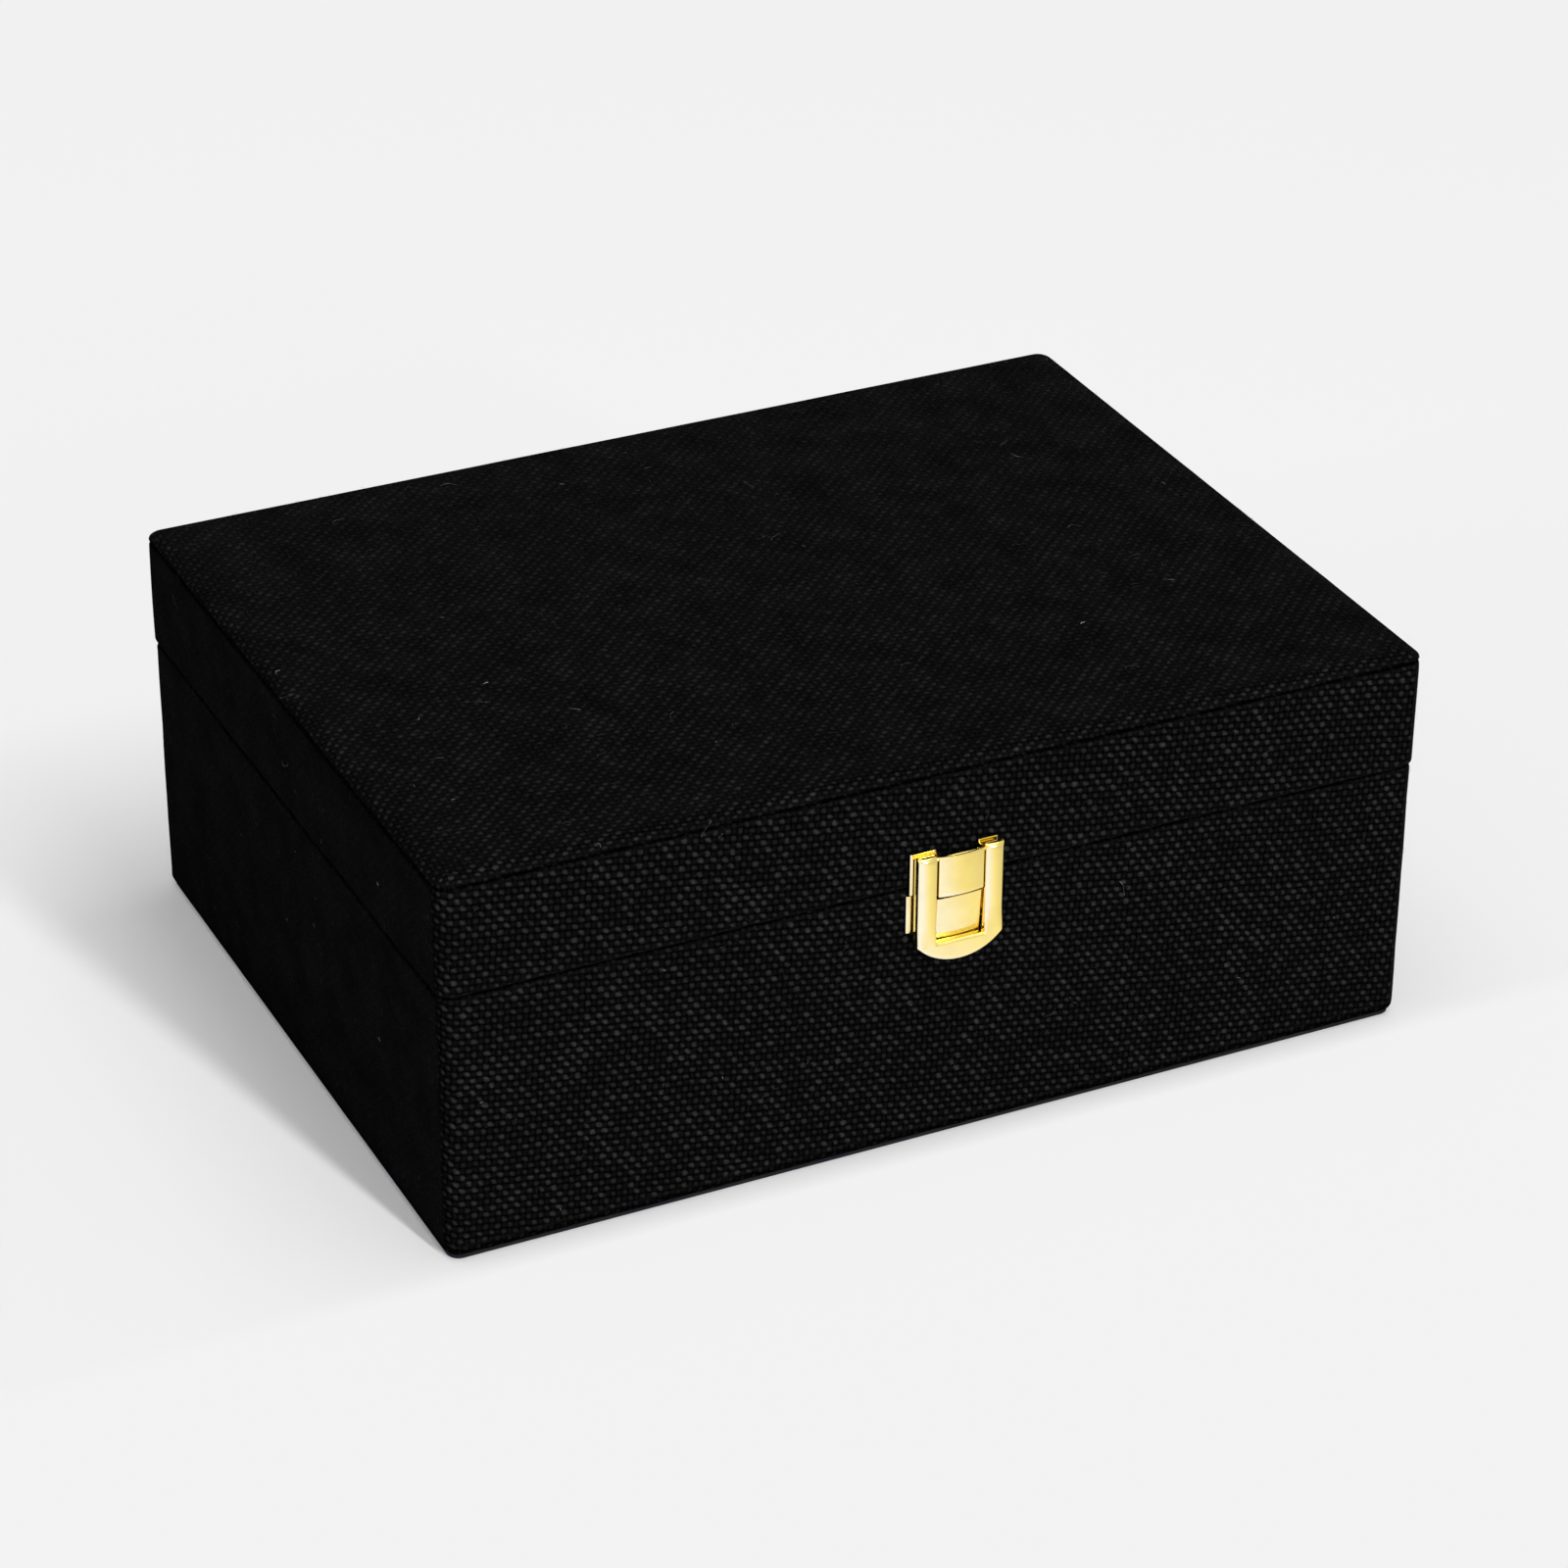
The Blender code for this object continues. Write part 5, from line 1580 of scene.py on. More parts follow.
def eased(distance: np.ndarray, radius: float) -> np.ndarray:
    """Gives how far a rounded edge has fallen at a distance in from the edge."""
    gap = np.clip(radius - distance, 0.0, radius)
    return radius - np.sqrt(np.maximum(radius * radius - gap * gap, 0.0))


@dataclass(frozen=True)
class Bracket:
    """The stamping of one latch bracket: two flanges on the wall and a raised tongue between them.

    Depths are in front of the latch plane. The tongue may lean, so it has one at its foot and one at its top.
    """

    node: str
    name: str
    body: Body
    seat: float
    flange: float
    tongue_foot: float
    tongue_top: float
    left: float
    bulge: float
    tongue_heights: Pair
    flange_heights: Pair
    right: float = 10.8 * MM


@dataclass
class Latch:
    """The stamped gilt snap latch: lever, pin, two brackets and four nails."""

    looks: Looks
    tree: Tree
    plane: float = -98.15 * MM
    centre: float = 1.5 * MM
    half: float = 11.5 * MM
    window: float = 6.35 * MM
    top: float = 81.7 * MM
    window_foot: float = 57.9 * MM
    shoulder: float = 57.5 * MM
    foot: float = 52.0 * MM
    rear: float = 1.5 * MM
    front: float = 4.1 * MM
    tab_rear: float = 2.4 * MM
    outer_round: float = 1.05 * MM
    inner_round: float = 0.60 * MM
    end_round: float = 1.25 * MM
    rail_crown: float = 0.50 * MM
    tongue_half: float = 6.0 * MM
    sheet: float = 0.4 * MM
    rail_blend: float = 6.0 * MM
    least: float = 0.1 * MM
    rear_lap: float = 0.3 * MM
    bend: float = 0.45 * MM
    inner_bend: float = 0.2 * MM
    edge_break: float = 0.09 * MM
    edge_bend: float = 50.0
    pin_sides: int = 28
    nail_sides: int = 20
    nail_lift: float = 0.3 * MM
    levels: int = 9
    reach: float = 20 * MM
    gap: float = 0.02 * MM
    lid_bracket: Bracket = Bracket(
        "latch_lid_bracket",
        "gilt_lid_bracket",
        Body.LID,
        seat=0.3 * MM,
        flange=1.0 * MM,
        tongue_foot=3.7 * MM,
        tongue_top=3.7 * MM,
        left=12.4 * MM,
        bulge=0.6 * MM,
        tongue_heights=(70.4 * MM, 81.3 * MM),
        flange_heights=(71.0 * MM, 82.1 * MM),
    )
    base_bracket: Bracket = Bracket(
        "latch_base_bracket",
        "gilt_base_catch",
        Body.BASE,
        seat=-0.2 * MM,
        flange=0.5 * MM,
        tongue_foot=1.75 * MM,
        tongue_top=2.9 * MM,
        left=13.0 * MM,
        bulge=0.25 * MM,
        tongue_heights=(56.2 * MM, 69.3 * MM),
        flange_heights=(60.5 * MM, 70.6 * MM),
    )

    def lever_columns(self) -> np.ndarray:
        """Gives the places across the lever, close together near its rounded edges.

        Returns:
            The places, from left to right.
        """
        share = np.array([0.0, 0.03, 0.09, 0.18, 0.30, 0.45, 0.65, 1.0])
        outer = self.half - self.outer_round * share
        inner = self.window + self.inner_round * share
        middle = np.linspace(self.window + self.inner_round, self.half - self.outer_round, 9)[1:-1]
        rail = np.unique(np.concatenate([outer, inner, middle]).round(9))
        between = np.linspace(0, self.window, 12)[:-1]
        half = np.concatenate([between, rail])
        return np.concatenate([-half[:0:-1], half])

    def lever_front(self, x: np.ndarray, z: np.ndarray, bottom: np.ndarray) -> np.ndarray:
        """Gives how far the lever's face stands in front of the latch plane.

        Args:
            x: Places across the lever.
            z: Heights.
            bottom: The height of the round bottom edge under each place.

        Returns:
            The distances.
        """
        wide = np.abs(x)
        side = self.half - wide
        under = (z - bottom) * 0.93
        above = self.top - z
        beside = np.where(z > self.window_foot, wide - self.window, 1.0)
        below = np.where(wide < self.window, self.window_foot - z, 1.0)
        at_corner = (z <= self.window_foot) & (wide >= self.window)
        corner = np.where(at_corner, np.hypot(wide - self.window, self.window_foot - z), 1.0)
        inner = np.minimum(np.minimum(np.abs(beside), np.abs(below)), corner)
        fall = eased(np.minimum(side, under), self.outer_round)
        fall = np.maximum(fall, eased(above, self.end_round))
        fall = fall + eased(inner, self.inner_round)
        middle = (self.half + self.window) / 2
        rail = np.clip(1 - ((wide - middle) / (self.half - self.window) * 2) ** 2, 0, 1)
        blend = np.clip((z - self.window_foot) / self.rail_blend, 0, 1)
        crown = self.rail_crown * (1 - rail) * blend * blend * (3 - 2 * blend)
        return self.front - np.minimum(fall, self.front - self.rear - self.least) - crown

    def lever(self) -> Piece:
        """Makes the lever as one closed plate: convex rails above a flat, round-bottomed tab.

        Returns:
            The lever.
        """
        columns = self.lever_columns()
        sagitta = self.shoulder - self.foot
        radius = (self.half**2 + sagitta**2) / (2 * sagitta)
        bottoms = self.foot + radius - np.sqrt(radius**2 - columns**2)
        share = np.array([0.0, 0.02, 0.06, 0.12, 0.20, 0.32])
        low_rows = np.concatenate([share, [0.45, 0.6, 0.72, 0.82, 0.90, 0.95, 0.98, 1.0]])
        down = np.array([0.0, 0.05, 0.13, 0.26, 0.45, 0.7, 1.0])
        high_rows = np.concatenate([
            self.window_foot + np.array([0.0, 0.3, 0.9, 1.8, 3.0, 4.5, 6.0]) * MM,
            np.linspace(self.window_foot + 8 * MM, self.top - self.end_round - 1 * MM, 8),
            (self.top - self.end_round * down)[::-1],
        ])
        shape = bmesh.new()
        sheets = []
        for at_front in (True, False):
            vertices: dict[tuple[int, int], Vertex] = {}
            for c, x in enumerate(columns):
                tab = bottoms[c] + (self.window_foot - bottoms[c]) * low_rows
                heights = np.concatenate([tab, high_rows[1:]])
                for r, z in enumerate(heights):
                    if r >= len(low_rows) and abs(x) < self.window - 1e-7:
                        continue
                    if at_front:
                        off = float(self.lever_front(np.array(x), np.array(z), bottoms[c]))
                    else:
                        lap = np.clip((z - self.window_foot) / self.rear_lap, 0, 1)
                        off = self.tab_rear + (self.rear - self.tab_rear) * lap
                        off += float(eased(np.array(self.top - z), self.end_round))
                    vertices[c, r] = shape.verts.new((self.centre + x, self.plane - off, z))
            sheets.append(vertices)
        self.join_sheets(shape, sheets, len(columns), len(low_rows) + len(high_rows) - 1)
        return from_bmesh("gilt_lever", shape, self.looks.gold, 44.0)

    @staticmethod
    def join_sheets(
        shape: Shape, sheets: Sequence[dict[tuple[int, int], Vertex]], columns: int, rows: int
    ) -> None:
        """Fills a front and a rear sheet of points with faces and closes them along their borders.

        Args:
            shape: The bmesh to fill.
            sheets: The front and rear vertices by column and row.
            columns: How many columns there are.
            rows: How many rows there are.
        """
        front, rear = sheets
        border: dict[tuple[tuple[int, int], tuple[int, int]], int] = {}
        for c in range(columns - 1):
            for r in range(rows - 1):
                keys = [(c, r), (c + 1, r), (c + 1, r + 1), (c, r + 1)]
                if not all(key in front for key in keys):
                    continue
                shape.faces.new([front[key] for key in keys])
                shape.faces.new([rear[key] for key in reversed(keys)])
                for a, b in zip(keys, keys[1:] + keys[:1]):
                    if (b, a) in border:
                        del border[b, a]
                    else:
                        border[a, b] = 1
        for a, b in border:
            shape.faces.new((front[b], front[a], rear[a], rear[b]))

    def section(self, bracket: Bracket, tongue: float) -> list[Pair]:
        """Gives a bracket's closed section, with round bends.

        Args:
            bracket: The bracket.
            tongue: How far its tongue stands in front of the latch plane.

        Returns:
            The points in X and distance in front of the latch plane.
        """
        half, bend, inner_bend = self.tongue_half, self.bend, self.inner_bend
        seat, flange, left, right = bracket.seat, bracket.flange, bracket.left, bracket.right
        path = [(-left, seat)]
        path += arc((bend - left, flange - bend), bend, 180, 90, 5)
        path += arc((-half - inner_bend, flange + inner_bend), inner_bend, 270, 360, 3)
        path += arc((bend - half, tongue - bend), bend, 180, 90, 6)
        for i in range(1, 20):
            share = i / 10 - 1
            path.append(((half - bend) * share, tongue + bracket.bulge * (1 - share * share)))
        path += arc((half - bend, tongue - bend), bend, 90, 0, 6)
        path += arc((half + inner_bend, flange + inner_bend), inner_bend, 180, 270, 3)
        path += arc((right - bend, flange - bend), bend, 90, 0, 5)
        path += [(right, seat)]
        points = np.array(path)
        tangent = np.gradient(points, axis=0)
        normal = np.column_stack([tangent[:, 1], -tangent[:, 0]])
        normal /= np.linalg.norm(normal, axis=1)[:, None]
        inner = points + normal * self.sheet
        inner[0], inner[-1] = (self.sheet - left, seat), (right - self.sheet, seat)
        return [tuple(p) for p in points] + [tuple(p) for p in inner[::-1]]

    def bracket(self, bracket: Bracket) -> Piece:
        """Makes one stamped bracket and trims its tongue and its flanges to their own heights.

        Args:
            bracket: Its measures.

        Returns:
            The bracket.
        """
        node = bracket.node
        low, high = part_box(node)
        foot, top = (self.section(bracket, tongue) for tongue in (bracket.tongue_foot, bracket.tongue_top))
        loops = []
        for z in np.linspace(low.z, high.z, self.levels):
            share = (z - low.z) / (high.z - low.z)
            section = [between(a, b, share) for a, b in zip(foot, top)]
            loops.append([(self.centre + x, self.plane - off, z) for x, off in section])
        shape = bmesh.new()
        skin(shape, loops)
        piece = from_bmesh(bracket.name, shape, self.looks.gold)
        cut_away(piece, self.trims(bracket, low.z, high.z))
        self.soften(piece)
        return piece

    def trims(self, bracket: Bracket, foot: float, top: float) -> list[Piece]:
        """Makes the cutters that trim a bracket.

        Args:
            bracket: Its measures.
            foot: Its lowest height.
            top: Its highest height.

        Returns:
            The cutters.
        """
        half = self.tongue_half
        wall = half + self.sheet + self.gap
        front = self.plane - self.reach / 2
        before = self.plane - max(self.lid_bracket.flange, self.base_bracket.flange) - self.gap
        behind = self.plane + self.reach / 10
        cutters = []
        for label, sides, rear, heights in (
            ("tongue", [(-wall, wall)], before, bracket.tongue_heights),
            ("flange", [(-self.reach, -half), (half, self.reach)], behind, bracket.flange_heights),
        ):
            for level, end in ((heights[1], heights[1] + self.reach), (heights[0], heights[0] - self.reach)):
                if not foot < level < top:
                    continue
                for left, right in sides:
                    low = (self.centre + left, front, min(level, end))
                    high = (self.centre + right, rear, max(level, end))
                    cutters.append(box_mesh(f"{bracket.name}_{label}_cutter", low, high))
        return cutters

    def soften(self, piece: Piece) -> None:
        """Breaks a bracket's cut edges, as tumbling and plating do.

        Args:
            piece: The bracket.
        """
        bevel = piece.modifiers.new("edges", "BEVEL")
        bevel.width = self.edge_break
        bevel.segments = 2
        bevel.limit_method = "ANGLE"
        bevel.angle_limit = math.radians(self.edge_bend)
        freeze(piece)
        piece.data.shade_smooth()
        piece.data.set_sharp_from_angle(angle=math.radians(self.edge_bend))

    def dress(self) -> None:
        """Makes and settles the latch."""
        settle(self.lever(), Body.LEVER, ["latch_lever"])
        for bracket in (self.lid_bracket, self.base_bracket):
            settle(self.bracket(bracket), bracket.body, [bracket.node])
        self.pin()
        self.nails()

    def pin(self) -> None:
        """Makes the lever's pin with slightly domed ends."""
        low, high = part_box("latch_pin")
        radius = (high.z - low.z) / 2
        end = [(radius * 0.3, 0.0), (radius * 0.8, 0.05 * MM), (radius, 0.2 * MM)]
        piece = laid_pin("gilt_latch_pin", low, high, end, self.pin_sides, self.looks.gold)
        settle(piece, Body.LID, ["latch_pin"])

    def nails(self) -> None:
        """Makes the domed nails that hold the brackets."""
        shank, head, rim, dome = 0.4 * MM, 0.9 * MM, 0.08 * MM, 0.22 * MM
        profile = [(0.05 * MM, -5.0 * MM), (shank, -4.4 * MM), (shank, 0.0), (head, 0.0), (head, rim)]
        profile += [(head * math.cos(a), rim + dome * math.sin(a)) for a in (0.35, 0.7, 1.05, 1.35)]
        pattern = turned_mesh("nail_pattern", profile, self.nail_sides)
        for body, part in ((Body.BASE, "base"), (Body.LID, "lid")):
            nodes = [f"{part}_nail_{side}" for side in ("left", "right")]
            places = []
            for node in nodes:
                low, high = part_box(node)
                places.append(((low.x + high.x) / 2, low.y + self.nail_lift, (low.z + high.z) / 2))
            name = f"gilt_{part}_nails"
            values = {"Fastener": pattern, "Seed": 2, "Material": self.looks.gold}
            piece = run_tree(self.tree, point_cloud(name, places, (0.0, -1.0, 0.0)), values, name, 35.0)
            settle(piece, body, nodes)
        bpy.data.objects.remove(pattern, do_unlink=True)


def scatter_tree() -> Tree:
    """Builds the geometry tree that scatters strands over a cloth surface.

    Returns:
        The tree. Strands lie against the surface in every direction, with their own length and lift.
    """
    inputs = {
        "Geometry": GEOMETRY,
        "Strand": OBJECT,
        "Density": 10000.0,
        "Smallest": 0.5,
        "Largest": 1.3,
        "Tilt": 0.5,
        "Seed": 1,
        "Material": MATERIAL,
    }
    g, given, leave = new_group("loose strands", "GeometryNodeTree", inputs, ["Geometry"], GEOMETRY)
    seed = given["Seed"]
    pattern = {"Object": given["Strand"]}
    strand = g.node("GeometryNodeObjectInfo", pattern, "Geometry", transform_space="ORIGINAL")
    scattered = g.add("GeometryNodeDistributePointsOnFaces", distribute_method="RANDOM")
    for label, value in (("Mesh", given["Geometry"]), ("Density", given["Density"]), ("Seed", seed)):
        g.feed(scattered.inputs[label], value)
    back = g.product(given["Tilt"], -1.0)
    most = g.join(given["Tilt"], given["Tilt"], 2 * math.pi)
    angles = {0: g.join(back, back, 0.0), 1: most, "Seed": seed}
    turn = g.node("FunctionNodeRandomValue", angles, data_type="FLOAT_VECTOR")
    euler = g.node("FunctionNodeEulerToRotation", {0: turn})
    lying = {0: scattered.outputs["Rotation"], 1: euler}
    turned = g.node("FunctionNodeRotateRotation", lying, rotation_space="LOCAL")
    sizes = {2: given["Smallest"], 3: given["Largest"], "Seed": g.math("ADD", seed, 7.0)}
    size = g.node("FunctionNodeRandomValue", sizes, 1, data_type="FLOAT")
    placing = {
        "Points": scattered.outputs["Points"],
        "Instance": strand,
        "Rotation": turned,
        "Scale": size,
    }
    return end_tree(g, given, leave, real_instances(g, placing))


@dataclass
class LooseStrands:
    """Fibres and hairs that stand off the cloth, and the pale lint that has settled on it."""

    looks: Looks
    fibre_length: float = 1.9 * MM
    fibre_radius: float = 0.022 * MM
    lift: float = 0.28 * MM
    density: float = 26000.0
    lint_length: float = 1.3 * MM
    lint_radius: float = 0.060 * MM
    lint_density: float = 420.0
    hair_length: float = 4.2 * MM
    hair_radius: float = 0.055 * MM
    hair_density: float = 520.0
    lint_lift: float = 0.14 * MM
    smallest: float = 0.35
    largest: float = 1.25
    tilt: float = 0.35

    def strand(self, name: str, length: float, radius: float, lift: float) -> Piece:
        """Makes one curved strand about its middle, of few faces.

        Args:
            name: The object's name.
            length: Its length.
            radius: Its radius.
            lift: How high its middle stands.

        Returns:
            The strand.
        """
        shape = bmesh.new()
        loops = []
        for i in range(5):
            t = i / 4
            rise = lift * math.sin(math.pi * t) + radius * 0.5
            middle = Vector((length * (t - 0.5), length * 0.16 * math.sin(4.4 * t), rise))
            taper = radius * (0.45 + 0.55 * math.sin(math.pi * (0.1 + 0.8 * t)))
            angles = [2 * math.pi * k / 3 for k in range(3)]
            loops.append([middle + Vector((0, taper * math.cos(a), taper * math.sin(a))) for a in angles])
        skin(shape, loops)
        return from_bmesh(name, shape)

    @staticmethod
    def outer_faces(piece: Piece, keep: Test) -> Mesh:
        """Copies the faces of a piece that a test keeps.

        Args:
            piece: The dressed cloth.
            keep: Tells from a face's centre and normal whether strands grow there.

        Returns:
            The copy.
        """
        shape = bmesh.new()
        shape.from_mesh(piece.data)
        unwanted = [face for face in shape.faces if not keep(face.calc_center_median(), face.normal)]
        bmesh.ops.delete(shape, geom=unwanted, context="FACES")
        mesh = bpy.data.meshes.new(f"{piece.name}_outside")
        shape.to_mesh(mesh)
        shape.free()
        return mesh

    def dress(self, cloths: Sequence[tuple[Piece, Body, float, Test]]) -> None:
        """Scatters fibres, lint and hairs on each cloth.

        Args:
            cloths: Each cloth, its body, its share of the full density, and the test for its outer faces.
        """
        tree = scatter_tree()
        fibre = self.strand("fibre_pattern", self.fibre_length, self.fibre_radius, self.lift)
        lint = self.strand("lint_pattern", self.lint_length, self.lint_radius, self.lint_lift)
        hair = self.strand("hair_pattern", self.hair_length, self.hair_radius, self.lift)
        for k, (cloth, body, share, keep) in enumerate(cloths):
            for label, pattern, density, material in (
                ("fibres", fibre, self.density * share, self.looks.fibre),
                ("lint", lint, self.lint_density, self.looks.lint),
                ("hairs", hair, self.hair_density, self.looks.hair),
            ):
                name = f"{cloth.name}_{label}"
                values = {
                    "Strand": pattern,
                    "Density": density,
                    "Smallest": self.smallest,
                    "Largest": self.largest,
                    "Tilt": self.tilt,
                    "Seed": 31 * k + len(label) * 3 + ord(label[0]),
                    "Material": material,
                }
                piece = run_tree(tree, self.outer_faces(cloth, keep), values, name)
                settle(piece, body)
        for pattern in (fibre, lint, hair):
            bpy.data.objects.remove(pattern, do_unlink=True)


def dress_carried_nodes(looks: Looks, nodes: dict[str, Piece]) -> None:
    """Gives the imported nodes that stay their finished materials.

    Args:
        looks: The materials.
        nodes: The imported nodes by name.
    """
    for name, node in nodes.items():
        if node.hide_render:
            continue
        node.data.materials.clear()
        node.data.materials.append(looks.board)
        LOG.info("%s: carried over with %s", name, looks.board.name)


@dataclass
class Studio:
    """The pale floor, the soft light and the camera of the photograph."""

    floor_half: float = 6.0
    floor_color: float = 0.88
    ground_near: float = 0.892
    ground_far: float = 0.858
    ground_reach: Pair = (0.35, 1.3)
    shadow_share: float = 0.80
    front_share: float = 0.05
    front_reach: Pair = (-0.106, -0.0985)
    back_share: float = 0.06
    back_reach: Pair = (0.085, 0.195)
    sky_light: float = 0.15
    overhead_light: float = 0.42
    overhead_angle: float = 60.0
    key_light: float = 0.43
    sky_mirrored: Pair = (1.06, 0.74)
    sky_reach: Pair = (-0.7, 0.7)
    mirror_reach: Pair = (-0.010, 0.055)
    mirror_near: Pair = (2.8, 1.0)
    mirror_fades: Pair = (0.055, 0.150)
    mirror_far: float = 0.70
    mirror_warm_limit: float = 1.02
    mirror_cool_share: float = 0.09
    glare: float = 0.7
    glare_place: Point = (0.012, -0.172, 0.0)
    glare_reach: float = 0.032
    key_azimuth: float = -78.5
    key_angle: float = 4.2
    key_elevations: tuple[float, ...] = (15, 20, 25, 31, 37, 43, 49, 55, 61, 67)
    key_shares: tuple[float, ...] = (0.19, 0.19, 0.17, 0.13, 0.09, 0.06, 0.05, 0.04, 0.04, 0.04)
    camera_azimuth: float = -25.8229
    camera_elevation: float = 29.6074
    camera_roll: float = 0.327
    camera_distance: float = 1.26254
    camera_right: float = 3.56 * MM
    camera_up: float = -2.84 * MM
    target_height: float = 51.1 * MM
    focal_pixels: float = 5066.7
    frame_pixels: float = 1600.0
    sensor: float = 36.0

    def floor(self) -> None:
        """Makes the floor: it takes the shadow, reads as a pale ground, and in reflections is a painted glow
        with a soft glare.
        """
        shape = bmesh.new()
        half = self.floor_half
        corners = [(-half, -half), (half, -half), (half, half), (-half, half)]
        shape.faces.new([shape.verts.new((x, y, 0.0)) for x, y in corners])
        tint = (self.floor_color,) * 3
        g, shader = start_material("pale floor", tint)
        shader.inputs["Base Color"].default_value = (*tint, 1.0)
        shader.inputs["Roughness"].default_value = 1.0
        shader.inputs["Specular IOR Level"].default_value = 0.0
        path = g.add("ShaderNodeLightPath").outputs
        place = object_position(g)
        away = g.vector_math("LENGTH", place)
        level = g.spread(away, *self.ground_reach, self.ground_near, self.ground_far)
        # What reflections see of the floor is a painted reflection: a glow brightest on the left, a soft
        # glare spot in front of the latch, and a cooler tint where it is brighter than white.
        from_glare = g.math("DIVIDE", g.vector_math("DISTANCE", place, self.glare_place), self.glare_reach)
        glow = g.math("EXPONENT", g.product(from_glare, from_glare, -1.0))
        across, depth, _ = g.split(place)
        mirrored = g.spread(across, *self.mirror_reach, *self.mirror_near)
        mirrored = g.product(mirrored, g.spread(across, *self.mirror_fades, 1.0, self.mirror_far))
        mirrored = g.math("MULTIPLY_ADD", glow, self.glare, mirrored)
        open_ground = self.emission(g, level)
        # The glow takes over from the lit floor in front of the box and far behind it: painted light that
        # fades the cast shadow and the contact shade there.
        behind = g.spread(depth, *self.back_reach, 1 - self.shadow_share, 1 - self.back_share)
        before = g.spread(depth, *self.front_reach, 1 - self.front_share, 1 - self.shadow_share)
        lit = g.math("MAXIMUM", behind, before)
        seen = self.mix(g, g.math("MULTIPLY", path["Is Camera Ray"], lit), shader.outputs[0], open_ground)
        warm = g.math("MINIMUM", mirrored, self.mirror_warm_limit)
        beyond = g.math("MAXIMUM", g.math("SUBTRACT", mirrored, 1.0), 0.0)
        middle = g.math("MULTIPLY_ADD", beyond, self.mirror_cool_share, warm)
        glare = self.emission(g, 1.0, g.join(warm, middle, mirrored))
        seen = self.mix(g, path["Is Glossy Ray"], seen, glare)
        g.feed(g.tree.nodes["Material Output"].inputs["Surface"], seen)
        made = from_bmesh("studio_floor", shape, bpy.data.materials["pale floor"])

    @staticmethod
    def emission(g: Graph, strength: Operand, color: Any = WHITE) -> Socket:
        """Makes a glow of a strength and a colour."""
        return g.node("ShaderNodeEmission", {"Color": color, "Strength": strength})

    @staticmethod
    def mix(g: Graph, share: Operand, first: Socket, second: Socket) -> Socket:
        """Mixes two shaders, with a share of the second."""
        return g.node("ShaderNodeMixShader", {0: share, 1: first, 2: second})

    def world(self) -> None:
        """Makes the surroundings: even light, and a pale ground in every mirror, brighter to the left as a
        painted reflection.
        """
        world = bpy.data.worlds.new("soft studio")
        world.use_nodes = True
        bpy.context.scene.world = world
        world.node_tree.nodes.clear()
        g = Graph(world.node_tree)
        path = g.add("ShaderNodeLightPath").outputs
        seen = g.math("MAXIMUM", path["Is Glossy Ray"], path["Is Transmission Ray"])
        seen = g.math("MAXIMUM", path["Is Camera Ray"], seen)
        sideways, _, _ = g.split(g.node("ShaderNodeTexCoord", {}, "Generated"))
        # Seen directly and in reflections the sky is brighter to the left: a painted reflection.
        mirrored = g.spread(sideways, *self.sky_reach, *self.sky_mirrored)
        level = g.spread(seen, 0, 1, self.sky_light, mirrored)
        ground = g.node("ShaderNodeBackground", {"Color": WHITE, "Strength": level})
        g.feed(g.add("ShaderNodeOutputWorld").inputs["Surface"], ground)

    def lamp(self, name: str, elevation: float, level: float, angle: float) -> None:
        """Hangs one far lamp in the key's direction.

        Args:
            name: Its name.
            elevation: Its height above the horizon in degrees.
            level: The share of the floor's light that it gives.
            angle: How wide it looks, in degrees.
        """
        azimuth, rise = math.radians(self.key_azimuth), math.radians(elevation)
        level_part = math.cos(rise)
        away = Vector((math.cos(azimuth) * level_part, math.sin(azimuth) * level_part, math.sin(rise)))
        lamp = bpy.data.lights.new(name, "SUN")
        lamp.energy = math.pi * level / math.sin(rise)
        lamp.angle = math.radians(angle)
        hung = bpy.data.objects.new(name, lamp)
        bpy.context.scene.collection.objects.link(hung)
        hung.matrix_world = Matrix.Translation(away) @ away.to_track_quat("Z", "Y").to_matrix().to_4x4()

    def lamps(self) -> None:
        """Sets up the tall narrow light in front as a column of lamps, and the soft one above the box."""
        for k, (elevation, share) in enumerate(zip(self.key_elevations, self.key_shares)):
            self.lamp(f"tall light {k}", elevation, self.key_light * share, self.key_angle)
        self.lamp("overhead light", 90.0, self.overhead_light, self.overhead_angle)

    def camera(self) -> None:
        """Places the camera where the photograph was taken from."""
        azimuth = math.radians(self.camera_azimuth)
        elevation = math.radians(self.camera_elevation)
        roll = math.radians(self.camera_roll)
        level_part = math.cos(elevation)
        back = Vector((math.sin(azimuth) * level_part, -math.cos(azimuth) * level_part, math.sin(elevation)))
        right = Vector((math.cos(azimuth), math.sin(azimuth), 0.0))
        up = back.cross(right)
        leaned_right = right * math.cos(roll) + up * math.sin(roll)
        leaned_up = up * math.cos(roll) - right * math.sin(roll)
        place = Vector((0, 0, self.target_height))
        place = place + leaned_right * self.camera_right + leaned_up * self.camera_up
        place += back * self.camera_distance
        data = bpy.data.cameras.new("photograph")
        data.sensor_width = self.sensor
        data.sensor_fit = "HORIZONTAL"
        data.lens = self.focal_pixels / self.frame_pixels * self.sensor
        data.clip_start = 0.01
        camera = bpy.data.objects.new("photograph", data)
        bpy.context.scene.collection.objects.link(camera)
        turn = Matrix((leaned_right, leaned_up, back)).transposed().to_4x4()
        camera.matrix_world = Matrix.Translation(place) @ turn
        bpy.context.scene.camera = camera

    def dress(self) -> None:
        """Sets up the whole studio."""
        self.floor()
        self.world()
        self.lamps()
        self.camera()
        bpy.context.scene.view_settings.view_transform = "Standard"


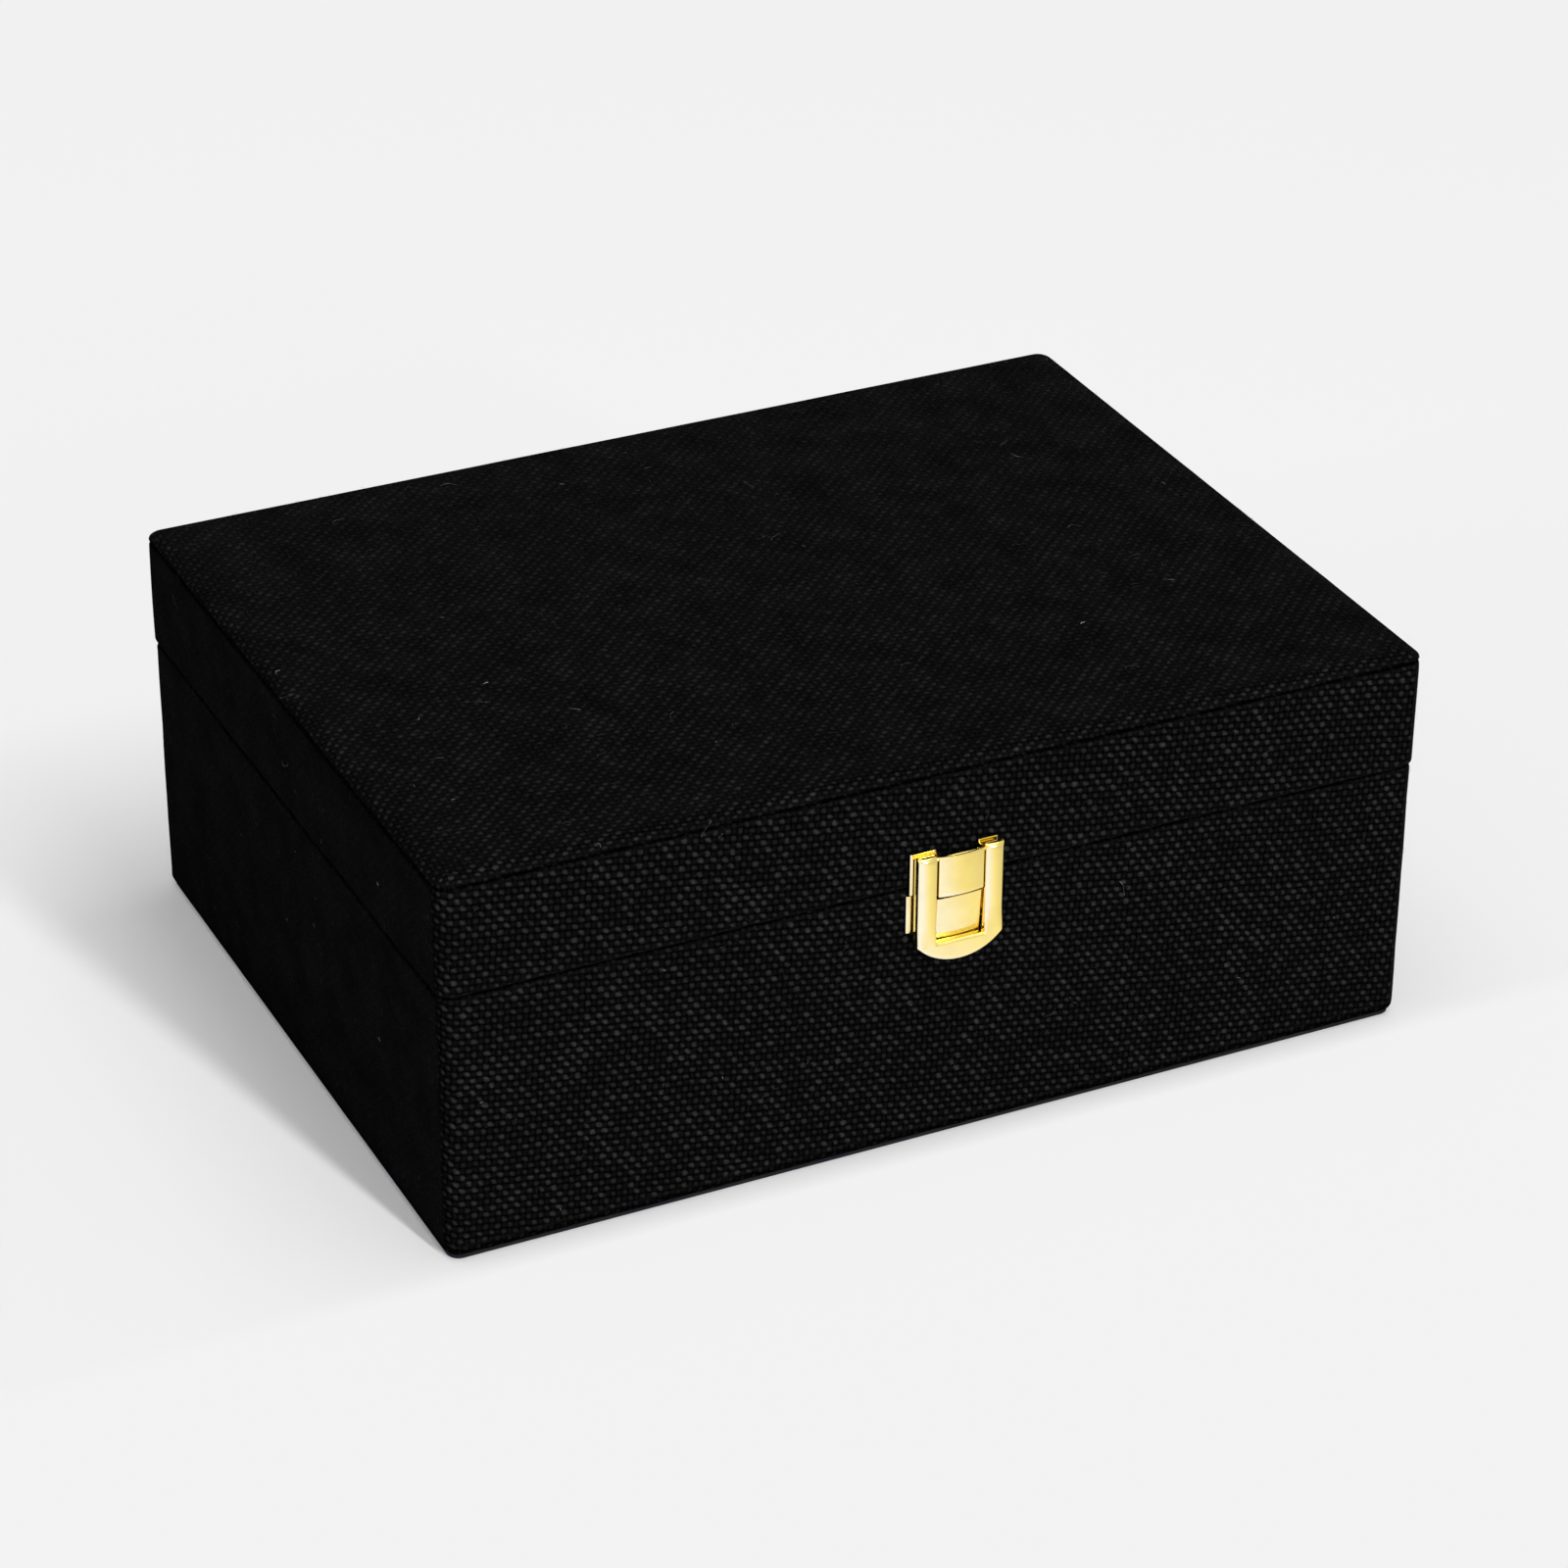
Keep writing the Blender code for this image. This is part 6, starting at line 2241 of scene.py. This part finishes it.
def hinge_seats(
    part: str,
    clearance: float = 0.3 * MM,
    reach: float = 1.9 * MM,
    lap: float = 1.0 * MM,
    depth: float = 3.0 * MM,
) -> list[tuple[Vector, Vector]]:
    """Gives the room that the hinges need in the cloth of the base or the lid.

    Args:
        part: "base" or "lid".
        clearance: The room round each hinge.
        reach: How far a seat goes past the pin's middle, on the part's own side.
        lap: How far it goes on the other side.
        depth: How far it goes behind the leaf.

    Returns:
        The lowest and highest corner of each seat.
    """
    seats = []
    for side in ("left", "right"):
        low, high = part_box(f"hinge_{part}_leaf_{side}")
        knuckle_low, knuckle_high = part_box(f"hinge_pin_{side}")
        middle = (knuckle_low.z + knuckle_high.z) / 2
        below, above = (reach, lap) if part == "base" else (lap, reach)
        lowest = Vector((low.x - clearance, low.y - clearance, middle - below))
        seats.append((lowest, Vector((high.x + clearance, high.y + depth, middle + above))))
    return seats


def dress_cloth(looks: Looks) -> None:
    """Dresses the outside: the cloth round base and lid, the padded top, and their loose strands.

    Args:
        looks: The materials.
    """
    base = ClothSkin(
        looks,
        Body.BASE,
        "base_wrap",
        "cloth_round_base",
        foot_turn=12 * MM,
        top_turn=6.2 * MM,
        foot_shade=0.85,
        grow=0.22 * MM,
    ).dress(hinge_seats("base"))
    lid = ClothSkin(
        looks,
        Body.LID,
        "lid_wrap",
        "cloth_round_lid",
        foot_turn=6.2 * MM,
        top_turn=10 * MM,
        foot_radius=1.3 * MM,
        wall_rows=6,
        seed=8,
    ).dress(hinge_seats("lid"))
    top = PaddedPanel(
        looks.top_cloth,
        Slot.CLOTH,
        Body.LID,
        "lid_top_cover",
        "cloth_over_padded_top",
        corner=4.0 * MM,
        edge_radius=0.5 * MM,
        shoulder=5.0 * MM,
        crown=0.4 * MM,
        edge_wave=0.08 * MM,
    ).dress()
    half_x, half_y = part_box("lid_top_cover")[1].xy
    rim, foot, upright, down = 2.0 * MM, 2.5 * MM, 0.9, -0.2

    def outside(centre: Vector, normal: Vector) -> bool:
        """Keeps the upright faces on the outside of the walls, above the floor."""
        beyond = max(abs(centre.x) - half_x, abs(centre.y) - half_y)
        return beyond > -rim and centre.z > foot and abs(normal.z) < upright

    def upward(_: Vector, normal: Vector) -> bool:
        """Keeps the faces that don't look down."""
        return normal.z > down

    cloths = [
        (base, Body.BASE, 0.6, outside),
        (lid, Body.LID, 0.6, outside),
        (top, Body.LID, 1.0, upward),
    ]
    LooseStrands(looks).dress(cloths)


def dress_underside(looks: Looks) -> None:
    """Dresses the felt sheet that the box stands on, up to the cloth above it.

    Args:
        looks: The materials.
    """
    low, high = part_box("base_underside_sheet")
    cloth_foot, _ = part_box("base_wrap")
    corner, step, rounding = 3.2 * MM, 8 * MM, 0.25 * MM
    outline = Outline(high.x, high.y, corner, step)
    shape = bmesh.new()
    loops = []
    for inset, z in ((rounding, low.z), (0.0, low.z + rounding), (0.0, cloth_foot.z)):
        points, _ = outline.plan(inset)
        loops.append([(x, y, z) for x, y in points])
    skin(shape, loops)
    settle(from_bmesh("felt_underside", shape, looks.felt), Body.BASE, ["base_underside_sheet"])


def dress_inside(looks: Looks) -> None:
    """Dresses the inside: velvet boards, pads and ring rolls.

    Args:
        looks: The materials.
    """
    VelvetBoards(looks).dress()
    RingRolls(looks).dress()
    for node, body, facing, name in (
        ("base_floor_pad", Body.BASE, Facing.UP, "velvet_floor_pad"),
        ("lid_lining_pad", Body.LID, Facing.DOWN, "velvet_lid_pad"),
    ):
        PaddedPanel(
            looks.velvet,
            Slot.VELVET,
            body,
            node,
            name,
            corner=0.8 * MM,
            edge_radius=0.5 * MM,
            shoulder=3.0 * MM,
            crown=0.3 * MM,
            facing=facing,
            fill=0.8,
            grow=0.5 * MM,
        ).dress()


def main() -> None:
    """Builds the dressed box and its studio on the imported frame."""
    logging.basicConfig(level=logging.INFO, format="%(message)s")
    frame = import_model()
    Studio().dress()
    looks = Looks()
    dress_cloth(looks)
    dress_underside(looks)
    dress_inside(looks)
    fasteners = fastener_tree()
    Hinges(looks, fasteners).dress()
    Latch(looks, fasteners).dress()
    dress_carried_nodes(looks, frame["nodes"])


if __name__ == "__main__":
    main()
